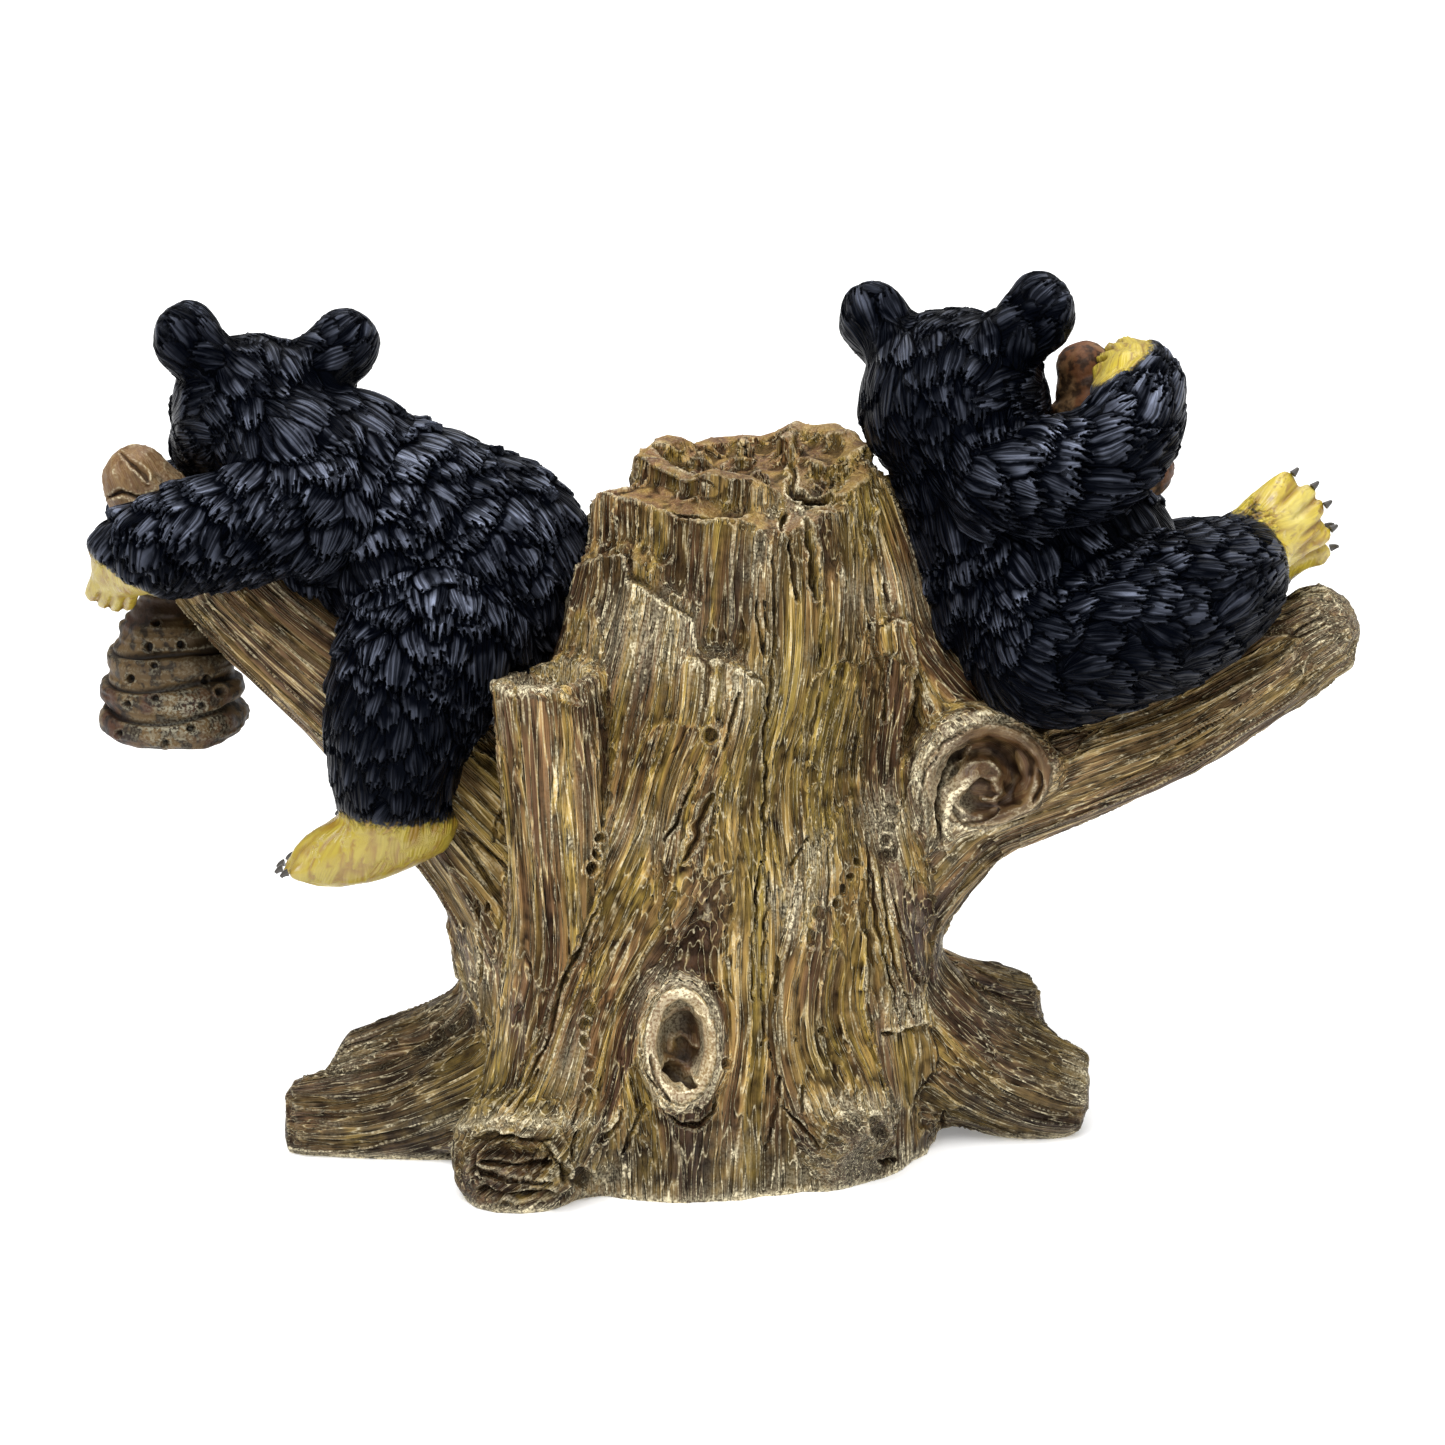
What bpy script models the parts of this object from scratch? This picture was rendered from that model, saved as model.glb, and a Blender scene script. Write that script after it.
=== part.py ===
import math

import bmesh
import bpy
from mathutils import Matrix, Vector

# A cast resin ornament: a broken tree stump with two branches, a black bear cub climbing the left one
# over a straw hive, and a second cub sitting on the right one with a smaller hive in its paws.
# +X is to the right and +Y away from the viewer, on the side that both cubs face. The tree stands on z = 0.

MM = 0.001

# Driving sizes, in millimetres.
TREE_HEIGHT = 138.0  # ground to the top of the broken crown
CLIMBER_HEIGHT = 101.5  # climbing cub, hind toes to ear tips
SITTER_HEIGHT = 86.0  # sitting cub, seat to ear tips
HIVE_WIDTH = 28.2  # hanging hive across its bottom coil
HIVE_HEIGHT = 28.0
HELD_HIVE_WIDTH = 21.5  # the hive in the sitting cub's paws
HELD_HIVE_HEIGHT = 30.0
FIT_GAP = 0.45  # left between two castings where they meet

# How finely the castings are made.
TREE_GRAIN = 1.25  # size of the cells in which a form's pieces are melted together
CUB_GRAIN = 1.0
TREE_FACES = 4200
CUB_FACES = 1400

# Each form is drawn in units of its own: so many of them make its height.
TREE_UNIT = TREE_HEIGHT / 138.0
CLIMBER_UNIT = CLIMBER_HEIGHT / 101.5
SITTER_UNIT = SITTER_HEIGHT / 86.0

# The tree's limbs, in tree units: x, y, z and radius along each.
LEFT_BRANCH = [
    (-16, 0, 26, 23),
    (-42, 0, 60.5, 16),
    (-64.2, 0, 86.0, 13.5),
    (-81.4, 0, 101.6, 11.7),
    (-95, 0, 115, 10),
    (-104.0, 0, 125, 7.7),
]
RIGHT_BRANCH = [
    (14, 0, 38, 22),
    (40, 0, 67.8, 16.6),
    (60, 0, 75.4, 13.4),
    (83, 0.5, 83.8, 11.8),
    (105.5, 1.5, 97.0, 10.2),
]
# The shoulder of wood between the trunk and the right branch, up to the sitting cub's back.
SHOULDER = [(23, 0, 127, 9.0), (26.5, 0, 113, 11.0), (30, 0, 99, 12.6), (38, 0, 85, 13.6)]
ROOTS = [
    [(-24, 2, 29, 17), (-47, 4, 17.4, 12), (-61, 5, 12.2, 10.8), (-71, 6, 10.3, 9.4)],
    [(-36, -4, 14, 15), (-60, -2, 6, 11.5), (-81, 0, 3.5, 9.6)],
    [(-22, -14, 28, 15), (-31, -23, 14, 14.5), (-38.5, -31, 9, 13.4)],
    [(12, -10, 28, 16), (19, -18, 15, 13), (24.5, -25, 9, 10)],
    [(22, 0, 31, 18), (42, 3, 17, 13.4), (57, 6, 9, 11.5), (67, 8, 6, 10)],
    [(28, 10, 26, 15), (47, 16, 19, 12), (58, 19, 17, 10.5)],
    [(-14, 12, 28, 15), (-26, 26, 11, 12), (-34, 34, 5, 9)],
    [(12, 12, 28, 15), (19, 27, 10, 12), (24, 37, 5, 9)],
]
STUB = [(-32, -23, 16, 13), (-29, -21.5, 42, 10.5), (-29.5, -22.5, 66, 9.6), (-32, -22, 96.5, 9.8)]
# z, then the trunk's centre and half widths across and front to back.
TRUNK_RINGS = [
    (-6, -5, 0, 46, 33),
    (8, -5, 0, 45, 32),
    (20, -4.5, 0, 44, 30.5),
    (43, -4.5, 0, 47, 28.5),
    (60, -3, 0, 41, 27),
    (80, -1, 0, 35, 25.5),
    (100, 1.5, 0, 31, 24.5),
    (118, 3, 0, 27.8, 22.5),
    (134, 3.3, 0, 26.4, 21.5),
]
TRUNK_TOP = 119.0

# Broken layers of wood round the trunk. The viewer is at -90 degrees, the left branch at -180 and the
# right one at 0. Each has its stand-off from the trunk, its thickness, its foot, and height against angle.
LAYERS = {
    "crown_wall_left": (0.3, 5.0, 60, [
        (-183, 125.5), (-170, 127.5), (-158, 128.5), (-132, 129.5), (-118, 128.4), (-105, 128.2),
        (-95, 127.3), (-82, 127.2),
    ]),
    "crown_wall_right": (-0.4, 4.8, 60, [
        (-86, 125), (-67, 125), (-55, 127), (-43, 130), (-30, 131.5), (-6, 130),
    ]),
    "crown_wall_back": (0.2, 4.4, 60, [
        (-8, 129), (20, 123), (50, 129), (80, 122), (115, 127), (150, 121), (180, 126),
    ]),
    "left_slab": (3.4, 9.0, 34, [
        (-176, 108), (-168, 115), (-157, 117), (-145, 119.5), (-132, 120.6), (-120, 117),
        (-107, 111.5), (-101, 110.5),
    ]),
    "middle_slab": (5.4, 11.0, 44, [(-103, 104), (-95, 103.5), (-88, 102.5), (-82.5, 101)]),
    "right_strip": (2.8, 8.0, 31, [(-31, 106), (-21, 107.5), (-8, 105.5)]),
    "back_slab": (2.8, 8.0, 36, [(62, 88), (80, 98), (100, 101), (118, 92)]),
    "back_strip": (2.4, 8.0, 30, [(138, 104), (150, 108), (161, 103)]),
}
CORE_CENTRE = (5.4, 0.5)
CORE_HALF_WIDTHS = (22.4, 17.8)
CORE_TOPS = [
    (-180, 134), (-160, 135.5), (-140, 133), (-120, 134.4), (-95, 133.6), (-80, 133.4), (-66, 126),
    (-45, 124.5), (-25, 126), (-14, 135.2), (10, 136), (40, 138), (75, 136), (110, 133.4), (145, 135.4),
    (180, 134),
]
POT_MOUTH = ((-32, -22.5, 100), (7.3, 7.3, 9))
POT_FLAKE = [(-30.6, -17.4, 94, 2.2), (-30.2, -17, 99, 1.8), (-29.6, -17.2, 102.6, 1.0)]
# Long valleys down the trunk: angle at mid height, lean per unit of height, width and depth.
FURROWS = [
    (-136, 0.02, 5.0, 2.2),
    (-75, -0.02, 3.5, 1.8),
    (-50, 0.22, 6.0, 2.0),
    (-118, -0.10, 4.0, 1.2),
    (-16, 0.10, 5.0, 1.6),
    (35, 0.12, 6.0, 2.0),
    (68, -0.10, 4.5, 1.6),
    (104, 0.08, 6.0, 2.2),
    (140, -0.06, 5.0, 1.6),
]
# The eye-shaped knot low on the front: centre, way it faces, half width, half height and rim thickness.
EYE_KNOT = ((-7.6, -31, 30.8), (0, -1, 0.15), 6.5, 10.6, 2.6)
EYE_DEPTH = 5.5
# The knot where the right branch leaves: the collar round its bowl, and the lips and the snail of new wood
# inside it, in tree units, as x, y, z and radius along each.
COLLAR = [
    (36.8, -17.2, 63.4, 2.2), (35.9, -17.0, 69.4, 2.8), (35.9, -16.0, 75.5, 3.2), (37.6, -14.8, 81.1, 3.4),
    (41.4, -14.2, 85.1, 3.4), (46.8, -12.2, 87.0, 3.4), (52.6, -11.6, 85.4, 3.0), (57.0, -12.6, 82.4, 2.4),
    (60.0, -13.4, 78.6, 2.0), (59.8, -13.8, 75.2, 1.9), (56.6, -14.3, 72.0, 1.8), (51.7, -15.1, 69.7, 1.8),
    (46.8, -15.9, 68.3, 1.8), (43.0, -16.2, 67.6, 1.8),
]
BOWL = ((48.5, -15, 77), (9.8, 7.4, 6.5), (0.12, -1, 0.05))
NEW_WOOD = [
    [
        (50.6, -10.6, 72.6, 1.2), (51.2, -11.0, 75.2, 1.3), (49.2, -11.4, 77.8, 1.4), (45.6, -12.4, 77.8, 1.5),
        (42.8, -14, 74, 1.7), (41.4, -15.8, 69, 1.8), (41.2, -16.8, 64.5, 1.6),
    ],
    [(55.0, -10.6, 79.4, 1.1), (56.2, -11.8, 76.2, 1.3), (55.6, -12.8, 73.0, 1.3)],
]
SNAIL = ((47.2, -9.4, 73.8), (3.7, 3.4, 3.2), (0.12, -1, 0.05))
ROOT_HOLLOWS = [((-39.5, -44, 9.5), (9.5, 9, 5.4)), ((25, -36, 14.4), (6.3, 7.5, 5.2))]
# Swollen ends: centre, radii and the way the third radius lies.
KNOBS = [
    ((-37.5, -27.5, 6.5), (13.5, 12.5, 13.5), None),
    ((-107.2, 0, 128.2), (6.7, 7.2, 8.6), (-0.12, 0, 1)),
    ((111, 1.5, 100.4), (9.8, 9.4, 7.2), (0.9, 0, 0.44)),
]
# Splinters of heartwood in the crown: foot and tip.
SPLINTERS = [(-4, 3, 134), (3, 7, 135.5), (11, 6, 137), (17, 1, 132), (7, -4, 132)]

# Where the cubs lie and sit on their branches, in tree units.
CLIMBER_SEAT = (-60.0, 0.0, 81.0)
SITTER_SEAT = (62.0, 0.0, 72.0)
HIVE_TOP = (-102.7, 5.0, 108.0)  # where the hanging hive meets the branch, in tree units
HELD_HIVE_TOP = (3.0, 7.5, 80.4)  # from the sitting cub's seat, in its own units
HELD_HIVE_LEAN = -18.0  # degrees from upright


def smoothed(points, steps):
    """A smooth run of points through the given ones."""
    run = []
    count = len(points)
    for i in range(count - 1):
        before = points[max(i - 1, 0)]
        after = points[min(i + 2, count - 1)]
        for step in range(steps):
            t = step / steps
            run.append(tuple(
                b + t / 2 * (c - a + (2 * a - 5 * b + 4 * c - d) * t + (3 * b - a - 3 * c + d) * t * t)
                for a, b, c, d in zip(before, points[i], points[i + 1], after)
            ))
    run.append(tuple(points[-1]))
    return run


def height_at(table, angle):
    """Straight-line reading of a table of (angle, height)."""
    for (a, low), (b, high) in zip(table, table[1:]):
        if a <= angle <= b:
            return low + (high - low) * (angle - a) / (b - a)
    return table[0][1] if angle < table[0][0] else table[-1][1]


def skin_rings(bm, rings):
    """Closes a stack of equal rings of points into a solid with flat ends."""
    rows = [[bm.verts.new(point) for point in ring] for ring in rings]
    sides = len(rows[0])
    for low, high in zip(rows, rows[1:]):
        for i in range(sides):
            j = (i + 1) % sides
            bm.faces.new((low[i], low[j], high[j], high[i]))
    bm.faces.new(reversed(rows[0]))
    bm.faces.new(rows[-1])


def add_limb(bm, unit, points, sides=12, steps=4, blunt=False):
    """A round tapered limb along points of x, y, z and radius, with domed or broken-off ends."""
    run = smoothed(points, steps)
    centres = [Vector(p[:3]) * unit for p in run]
    radii = [p[3] * unit for p in run]
    start_way = (centres[0] - centres[1]).normalized()
    end_way = (centres[-1] - centres[-2]).normalized()
    domes = [(0.97, 0.1), (0.86, 0.2)] if blunt else [(0.95, 0.3), (0.7, 0.7), (0.35, 0.93)]
    centres = (
        [centres[0] + start_way * radii[0] * out for _, out in reversed(domes)]
        + centres
        + [centres[-1] + end_way * radii[-1] * out for _, out in domes]
    )
    radii = [radii[0] * wide for wide, _ in reversed(domes)] + radii + [radii[-1] * wide for wide, _ in domes]
    across = end_way.orthogonal()
    rings = []
    for i, centre in enumerate(centres):
        ahead = (centres[min(i + 1, len(centres) - 1)] - centres[max(i - 1, 0)]).normalized()
        across = (across - ahead * across.dot(ahead)).normalized()
        up = ahead.cross(across)
        rings.append([
            centre + (across * math.cos(a) + up * math.sin(a)) * radii[i]
            for a in (2 * math.pi * k / sides for k in range(sides))
        ])
    skin_rings(bm, rings)


def add_egg(bm, unit, centre, radii, facing=None, segments=16):
    """An ellipsoid. Its third radius lies along facing."""
    turn = Vector(facing).to_track_quat("Z", "Y").to_matrix().to_4x4() if facing else Matrix.Identity(4)
    place = Matrix.Translation(Vector(centre) * unit) @ turn @ Matrix.Diagonal((*(r * unit for r in radii), 1))
    bmesh.ops.create_uvsphere(bm, u_segments=segments, v_segments=segments * 5 // 8, radius=1, matrix=place)


def add_knot_ring(bm, unit, centre, facing, half_width, half_height, rim):
    """An upright oval ring lying on the bark."""
    turn = Vector(facing).to_track_quat("Z", "Y").to_matrix()
    around, sides = 24, 8
    rows = []
    for i in range(around):
        a = 2 * math.pi * i / around
        outward = Vector((math.cos(a), math.sin(a), 0))
        middle = Vector((half_width * math.cos(a), half_height * math.sin(a), 0))
        row = []
        for k in range(sides):
            b = 2 * math.pi * k / sides
            skin = middle + (outward * math.cos(b) + Vector((0, 0, math.sin(b)))) * rim
            row.append(bm.verts.new((Vector(centre) + turn @ skin) * unit))
        rows.append(row)
    for i in range(around):
        for k in range(sides):
            j, m = (i + 1) % around, (k + 1) % sides
            bm.faces.new((rows[i][k], rows[j][k], rows[j][m], rows[i][m]))


def trunk_at(z):
    """The trunk's centre and half widths at height z, in tree units."""
    for low, high in zip(TRUNK_RINGS, TRUNK_RINGS[1:]):
        if z <= high[0]:
            t = max(0.0, (z - low[0]) / (high[0] - low[0]))
            return [a + (b - a) * t for a, b in zip(low[1:], high[1:])]
    return list(TRUNK_RINGS[-1][1:])


def add_trunk(bm, unit):
    """The trunk up to the floor of the broken crown."""
    rings = []
    sides = 32
    heights = [r[0] for r in TRUNK_RINGS if r[0] < TRUNK_TOP] + [TRUNK_TOP]
    for z in heights:
        cx, cy, wide, deep = trunk_at(z)
        rings.append([
            Vector((cx + wide * math.cos(a), cy + deep * math.sin(a), z)) * unit
            for a in (2 * math.pi * k / sides for k in range(sides))
        ])
    skin_rings(bm, rings)


def add_layer(bm, unit, stand_off, thick, foot, tops):
    """A slab of wood that follows the trunk from its foot up to a ragged top edge."""
    first, last = tops[0][0], tops[-1][0]
    count = max(3, round((last - first) / 5))
    levels = 9
    columns = []
    for i in range(count + 1):
        angle = first + (last - first) * i / count
        notch = 1.2 * math.sin(angle * 1.9) * math.sin(angle * 0.71)
        top = height_at(tops, angle) + notch
        a = math.radians(angle)
        outer, inner = [], []
        for level in range(levels):
            z = foot + (top - foot) * level / (levels - 1)
            cx, cy, wide, deep = trunk_at(z)
            out = (stand_off + 1) * min(1.0, level / 3) - 1
            for side, reach in ((outer, out), (inner, out - thick)):
                x, y = cx + (wide + reach) * math.cos(a), cy + (deep + reach) * math.sin(a)
                side.append(Vector((x, y, z)) * unit)
        columns.append([bm.verts.new(p) for p in outer + inner[::-1]])
    points = len(columns[0])
    for one, other in zip(columns, columns[1:]):
        for i in range(points):
            j = (i + 1) % points
            bm.faces.new((one[i], other[i], other[j], one[j]))
    bm.faces.new(columns[0])
    bm.faces.new(reversed(columns[-1]))


def add_core(bm, unit):
    """The splintered heartwood that stands out of the crown, sunk in its middle."""
    sides = 48
    foot = TRUNK_TOP - 12
    outline = []
    for k in range(sides):
        angle = -180 + 360 * k / sides
        a = math.radians(angle)
        notch = 1.5 * math.sin(angle * 2.3) * math.sin(angle * 0.9)
        top = height_at(CORE_TOPS, angle) + notch
        flute = 1 + 0.03 * math.sin(a * 11)
        x = CORE_HALF_WIDTHS[0] * flute * math.cos(a)
        y = CORE_HALF_WIDTHS[1] * flute * math.sin(a)
        outline.append((x, y, top))
    rings = []
    cx, cy = CORE_CENTRE
    steps = [(1.0, 0.0, 0.0), (1.0, 0.5, 0.0), (0.97, 1.0, 0.0), (0.76, 1.0, 0.5), (0.62, 1.0, 4.5)]
    for shrink, share, sink in steps:
        rings.append([
            Vector((cx + x * shrink, cy + y * shrink, foot + (top - foot) * share - sink)) * unit
            for x, y, top in outline
        ])
    skin_rings(bm, rings)
    for i, (x, y, top) in enumerate(SPLINTERS):
        add_limb(bm, unit, [(x, y, TRUNK_TOP - 1, 4.2), (x + math.sin(i), y, top, 2.2)], 6, 1, blunt=True)


def mesh_of(bm, name):
    """Ends a bmesh as a mesh with its faces pointing outwards."""
    bmesh.ops.recalc_face_normals(bm, faces=bm.faces)
    mesh = bpy.data.meshes.new(name)
    bm.to_mesh(mesh)
    bm.free()
    return mesh


def place_object(name, mesh):
    obj = bpy.data.objects.new(name, mesh)
    bpy.context.scene.collection.objects.link(obj)
    return obj


def apply_modifiers(obj):
    """Keeps what the object's modifiers give as its own mesh."""
    graph = bpy.context.evaluated_depsgraph_get()
    mesh = bpy.data.meshes.new_from_object(obj.evaluated_get(graph), depsgraph=graph)
    obj.modifiers.clear()
    obj.data = mesh


def melt(obj, grain, smoothing):
    """Turns overlapping forms into one closed skin and softens it."""
    skin = obj.modifiers.new("melt", "REMESH")
    skin.mode = "VOXEL"
    skin.voxel_size = grain * MM
    soften = obj.modifiers.new("soften", "SMOOTH")
    soften.factor = 0.5
    soften.iterations = smoothing
    apply_modifiers(obj)


def thin_faces(obj, faces):
    thin = obj.modifiers.new("thin", "DECIMATE")
    obj.data.calc_loop_triangles()
    thin.ratio = min(1.0, faces / len(obj.data.loop_triangles))
    apply_modifiers(obj)


def carve(obj, cutters):
    """Cuts the cutters out of the object and drops any chips."""
    for cutter in cutters:
        cutter.hide_render = True
        cutter.display_type = "WIRE"
        cut = obj.modifiers.new(cutter.name, "BOOLEAN")
        cut.operation = "DIFFERENCE"
        cut.solver = "EXACT"
        cut.object = cutter
    apply_modifiers(obj)
    bm = bmesh.new()
    bm.from_mesh(obj.data)
    bmesh.ops.triangulate(bm, faces=bm.faces)
    bmesh.ops.dissolve_degenerate(bm, dist=0.02 * MM, edges=bm.edges)
    bmesh.ops.triangulate(bm, faces=bm.faces)
    unseen = set(bm.verts)
    islands = []
    while unseen:
        island, edge = set(), [unseen.pop()]
        while edge:
            vert = edge.pop()
            island.add(vert)
            for link in vert.link_edges:
                other = link.other_vert(vert)
                if other in unseen:
                    unseen.remove(other)
                    edge.append(other)
        islands.append(island)
    islands.sort(key=len)
    chips = [vert for island in islands[:-1] for vert in island]
    bmesh.ops.delete(bm, geom=chips, context="VERTS")
    bm.to_mesh(obj.data)
    bm.free()


def clearance_around(obj, name):
    """A cutter: the same form, larger all round by the gap."""
    mesh = obj.data.copy()
    normals = [v.normal.copy() for v in mesh.vertices]
    for vert, normal in zip(mesh.vertices, normals):
        vert.co += normal * FIT_GAP * MM
    return place_object(name, mesh)


def paint(obj, name, colour, roughness):
    """The piece's own painted resin."""
    material = bpy.data.materials.new(name)
    material.use_nodes = True
    shader = material.node_tree.nodes["Principled BSDF"]
    shader.inputs["Base Color"].default_value = (*colour, 1)
    shader.inputs["Roughness"].default_value = roughness
    shader.inputs["Metallic"].default_value = 0.0
    obj.data.materials.clear()
    obj.data.materials.append(material)
    obj.data.shade_smooth()
    obj.data.set_sharp_from_angle(angle=math.radians(40))


def stand_flat(obj):
    """Cuts the form off at z = 0 and closes it with a flat underside."""
    bm = bmesh.new()
    bm.from_mesh(obj.data)
    everything = bm.verts[:] + bm.edges[:] + bm.faces[:]
    cut = bmesh.ops.bisect_plane(
        bm, geom=everything, dist=0.01 * MM, plane_co=(0, 0, 0), plane_no=(0, 0, -1), clear_outer=True
    )
    rim = [piece for piece in cut["geom_cut"] if isinstance(piece, bmesh.types.BMEdge)]
    bmesh.ops.triangle_fill(bm, edges=rim, use_beauty=True, normal=(0, 0, -1))
    bmesh.ops.recalc_face_normals(bm, faces=bm.faces)
    bm.to_mesh(obj.data)
    bm.free()


def plough(obj, unit):
    """Draws the long furrows down the trunk."""
    places = []
    for vert in obj.data.vertices:
        places.append(vert.co.copy())
        x, y, z = vert.co / unit
        cx, cy, wide, deep = trunk_at(z)
        reach = math.hypot((x - cx) / wide, (y - cy) / deep)
        if reach > 1.45 or z > TRUNK_TOP:
            continue
        angle = math.degrees(math.atan2((y - cy) / deep, (x - cx) / wide))
        depth = 0.5 * math.sin(math.radians(angle * 14 + z * 1.3)) * math.sin(math.radians(angle * 5 - z))
        for middle, lean, width, cut in FURROWS:
            off = (angle - middle - lean * (z - 60) + 180) % 360 - 180
            depth += cut * math.exp(-((off / width) ** 2))
        fade = min(1.0, max(0.0, (1.45 - reach) / 0.3), (TRUNK_TOP - z) / 12 + 0.2)
        places[-1] -= vert.normal * depth * fade * unit
    for vert, place in zip(obj.data.vertices, places):
        vert.co = place


def build_tree():
    """Stump, branches and roots, one casting."""
    unit = TREE_UNIT * MM
    body = bmesh.new()
    add_trunk(body, unit)
    for limb in ROOTS + [RIGHT_BRANCH, LEFT_BRANCH, SHOULDER]:
        add_limb(body, unit, limb, sides=16, blunt=True)
    for knob in KNOBS:
        add_egg(body, unit, *knob)
    tree = place_object("tree_stump", mesh_of(body, "tree_stump"))
    melt(tree, TREE_GRAIN * TREE_UNIT * 1.3, 12)
    plough(tree, unit)

    wood = bmesh.new()
    wood.from_mesh(tree.data)
    for layer in LAYERS.values():
        add_layer(wood, unit, *layer)
    add_core(wood, unit)
    add_limb(wood, unit, STUB, sides=16, blunt=True)
    add_limb(wood, unit, POT_FLAKE, sides=8)
    add_knot_ring(wood, unit, *EYE_KNOT)
    add_limb(wood, unit, COLLAR, sides=10)
    tree.data = mesh_of(wood, "tree_stump")
    melt(tree, TREE_GRAIN * TREE_UNIT, 1)

    hollows = bmesh.new()
    centre, facing, half_width, half_height, rim = EYE_KNOT
    add_egg(hollows, unit, centre, (half_width - rim * 0.8, half_height - rim * 0.8, EYE_DEPTH), facing)
    add_egg(hollows, unit, *BOWL)
    for centre, radii in ROOT_HOLLOWS + [POT_MOUTH]:
        add_egg(hollows, unit, centre, radii)
    carve(tree, [place_object("hollows", mesh_of(hollows, "hollows"))])
    grown = bmesh.new()
    grown.from_mesh(tree.data)
    for lip in NEW_WOOD:
        add_limb(grown, unit, lip, sides=8)
    add_egg(grown, unit, *SNAIL)
    tree.data = mesh_of(grown, "tree_stump")
    melt(tree, TREE_GRAIN * TREE_UNIT * 0.8, 2)
    thin_faces(tree, TREE_FACES)
    stand_flat(tree)
    paint(tree, "stained wood resin", (0.30, 0.20, 0.09), 0.55)
    return tree


def add_hive(bm, width, height, coils=5, sides=20):
    """A domed straw hive of stacked coils, hanging down from its top at the origin."""
    coil_height = height / coils
    rows = []
    for coil in range(coils):
        share = (coil + 0.85) / coils
        radius = width / 2 * math.sin(math.pi / 2 * min(1.0, share * 1.05)) ** 0.7
        for step, bulge in ((0.1, 0.89), (0.5, 1.0), (0.88, 0.96)):
            rows.append((radius * bulge, -coil_height * (coil + step)))
    rows.append((width * 0.43, -height))
    skin_rings(bm, [
        [
            Vector((radius * math.cos(a), radius * math.sin(a), z))
            for a in (2 * math.pi * k / sides for k in range(sides))
        ]
        for radius, z in rows
    ])


def build_hive(name, width, height, top, lean):
    """A hive hung from its top point and leaned about Y, in degrees."""
    bm = bmesh.new()
    add_hive(bm, width * MM, height * MM)
    place = Matrix.Translation(top) @ Matrix.Rotation(math.radians(lean), 4, "Y")
    bmesh.ops.transform(bm, matrix=place, verts=bm.verts)
    hive = place_object(name, mesh_of(bm, name))
    paint(hive, name + " straw resin", (0.22, 0.13, 0.07), 0.6)
    return hive


def mirror_point(point, middle, normal):
    """A point seen in the plane through middle."""
    away = (Vector(point[:3]) - Vector(middle)).dot(Vector(normal))
    seen = Vector(point[:3]) - Vector(normal) * 2 * away
    return (*seen, *point[3:])


def add_head(bm, unit, centre, facing, size, ears, ear_radius):
    """A round cub's head with a short muzzle, cheeks and two ears at the given points."""
    ahead = Vector(facing).normalized()
    side = ahead.cross(Vector((0, 0, 1))).normalized()
    up = side.cross(ahead)
    middle = Vector(centre)
    add_egg(bm, unit, middle, (size * 0.99, size * 0.96, size * 0.95), ahead)
    for hand in (-1, 1):
        cheek = middle + ahead * size * 0.34 + side * hand * size * 0.48 - up * size * 0.30
        add_egg(bm, unit, cheek, (size * 0.46,) * 3)
        brow = middle + ahead * size * 0.66 + side * hand * size * 0.28 + up * size * 0.34
        add_egg(bm, unit, brow, (size * 0.3,) * 3, None, 12)
    for ear in ears:
        out = (Vector(ear) - middle).normalized()
        flat = (ahead + out * 0.2).normalized()
        add_egg(bm, unit, ear, (ear_radius, ear_radius * 1.05, ear_radius * 0.66), flat)
        add_egg(bm, unit, Vector(ear) - out * ear_radius * 0.7, (ear_radius * 0.92,) * 3)
    muzzle = middle + ahead * size * 0.98 - up * size * 0.20
    add_egg(bm, unit, muzzle, (size * 0.43, size * 0.37, size * 0.56), ahead)
    nose = middle + ahead * size * 1.46 - up * size * 0.02
    add_egg(bm, unit, nose, (size * 0.18, size * 0.13, size * 0.11), ahead, 12)


def add_paw(bm, unit, centre, toes_way, row_way, size, toes=4):
    """A broad paw with a row of toes along its front edge."""
    ahead = Vector(toes_way).normalized()
    row = Vector(row_way)
    row = (row - ahead * row.dot(ahead)).normalized()
    flat = ahead.cross(row)
    turn = Matrix((row, flat, ahead)).transposed().to_4x4()
    middle = Vector(centre)
    radii = Matrix.Diagonal((size * 0.86 * unit, size * 0.56 * unit, size * unit, 1))
    bmesh.ops.create_uvsphere(
        bm, u_segments=14, v_segments=10, radius=1, matrix=Matrix.Translation(middle * unit) @ turn @ radii
    )
    for i in range(toes):
        share = (i - (toes - 1) / 2) / ((toes - 1) / 2)
        toe = middle + row * share * size * 0.66 + ahead * size * (0.82 - 0.2 * share * share)
        add_egg(bm, unit, toe, (size * 0.25, size * 0.25, size * 0.36), ahead, 10)


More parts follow.
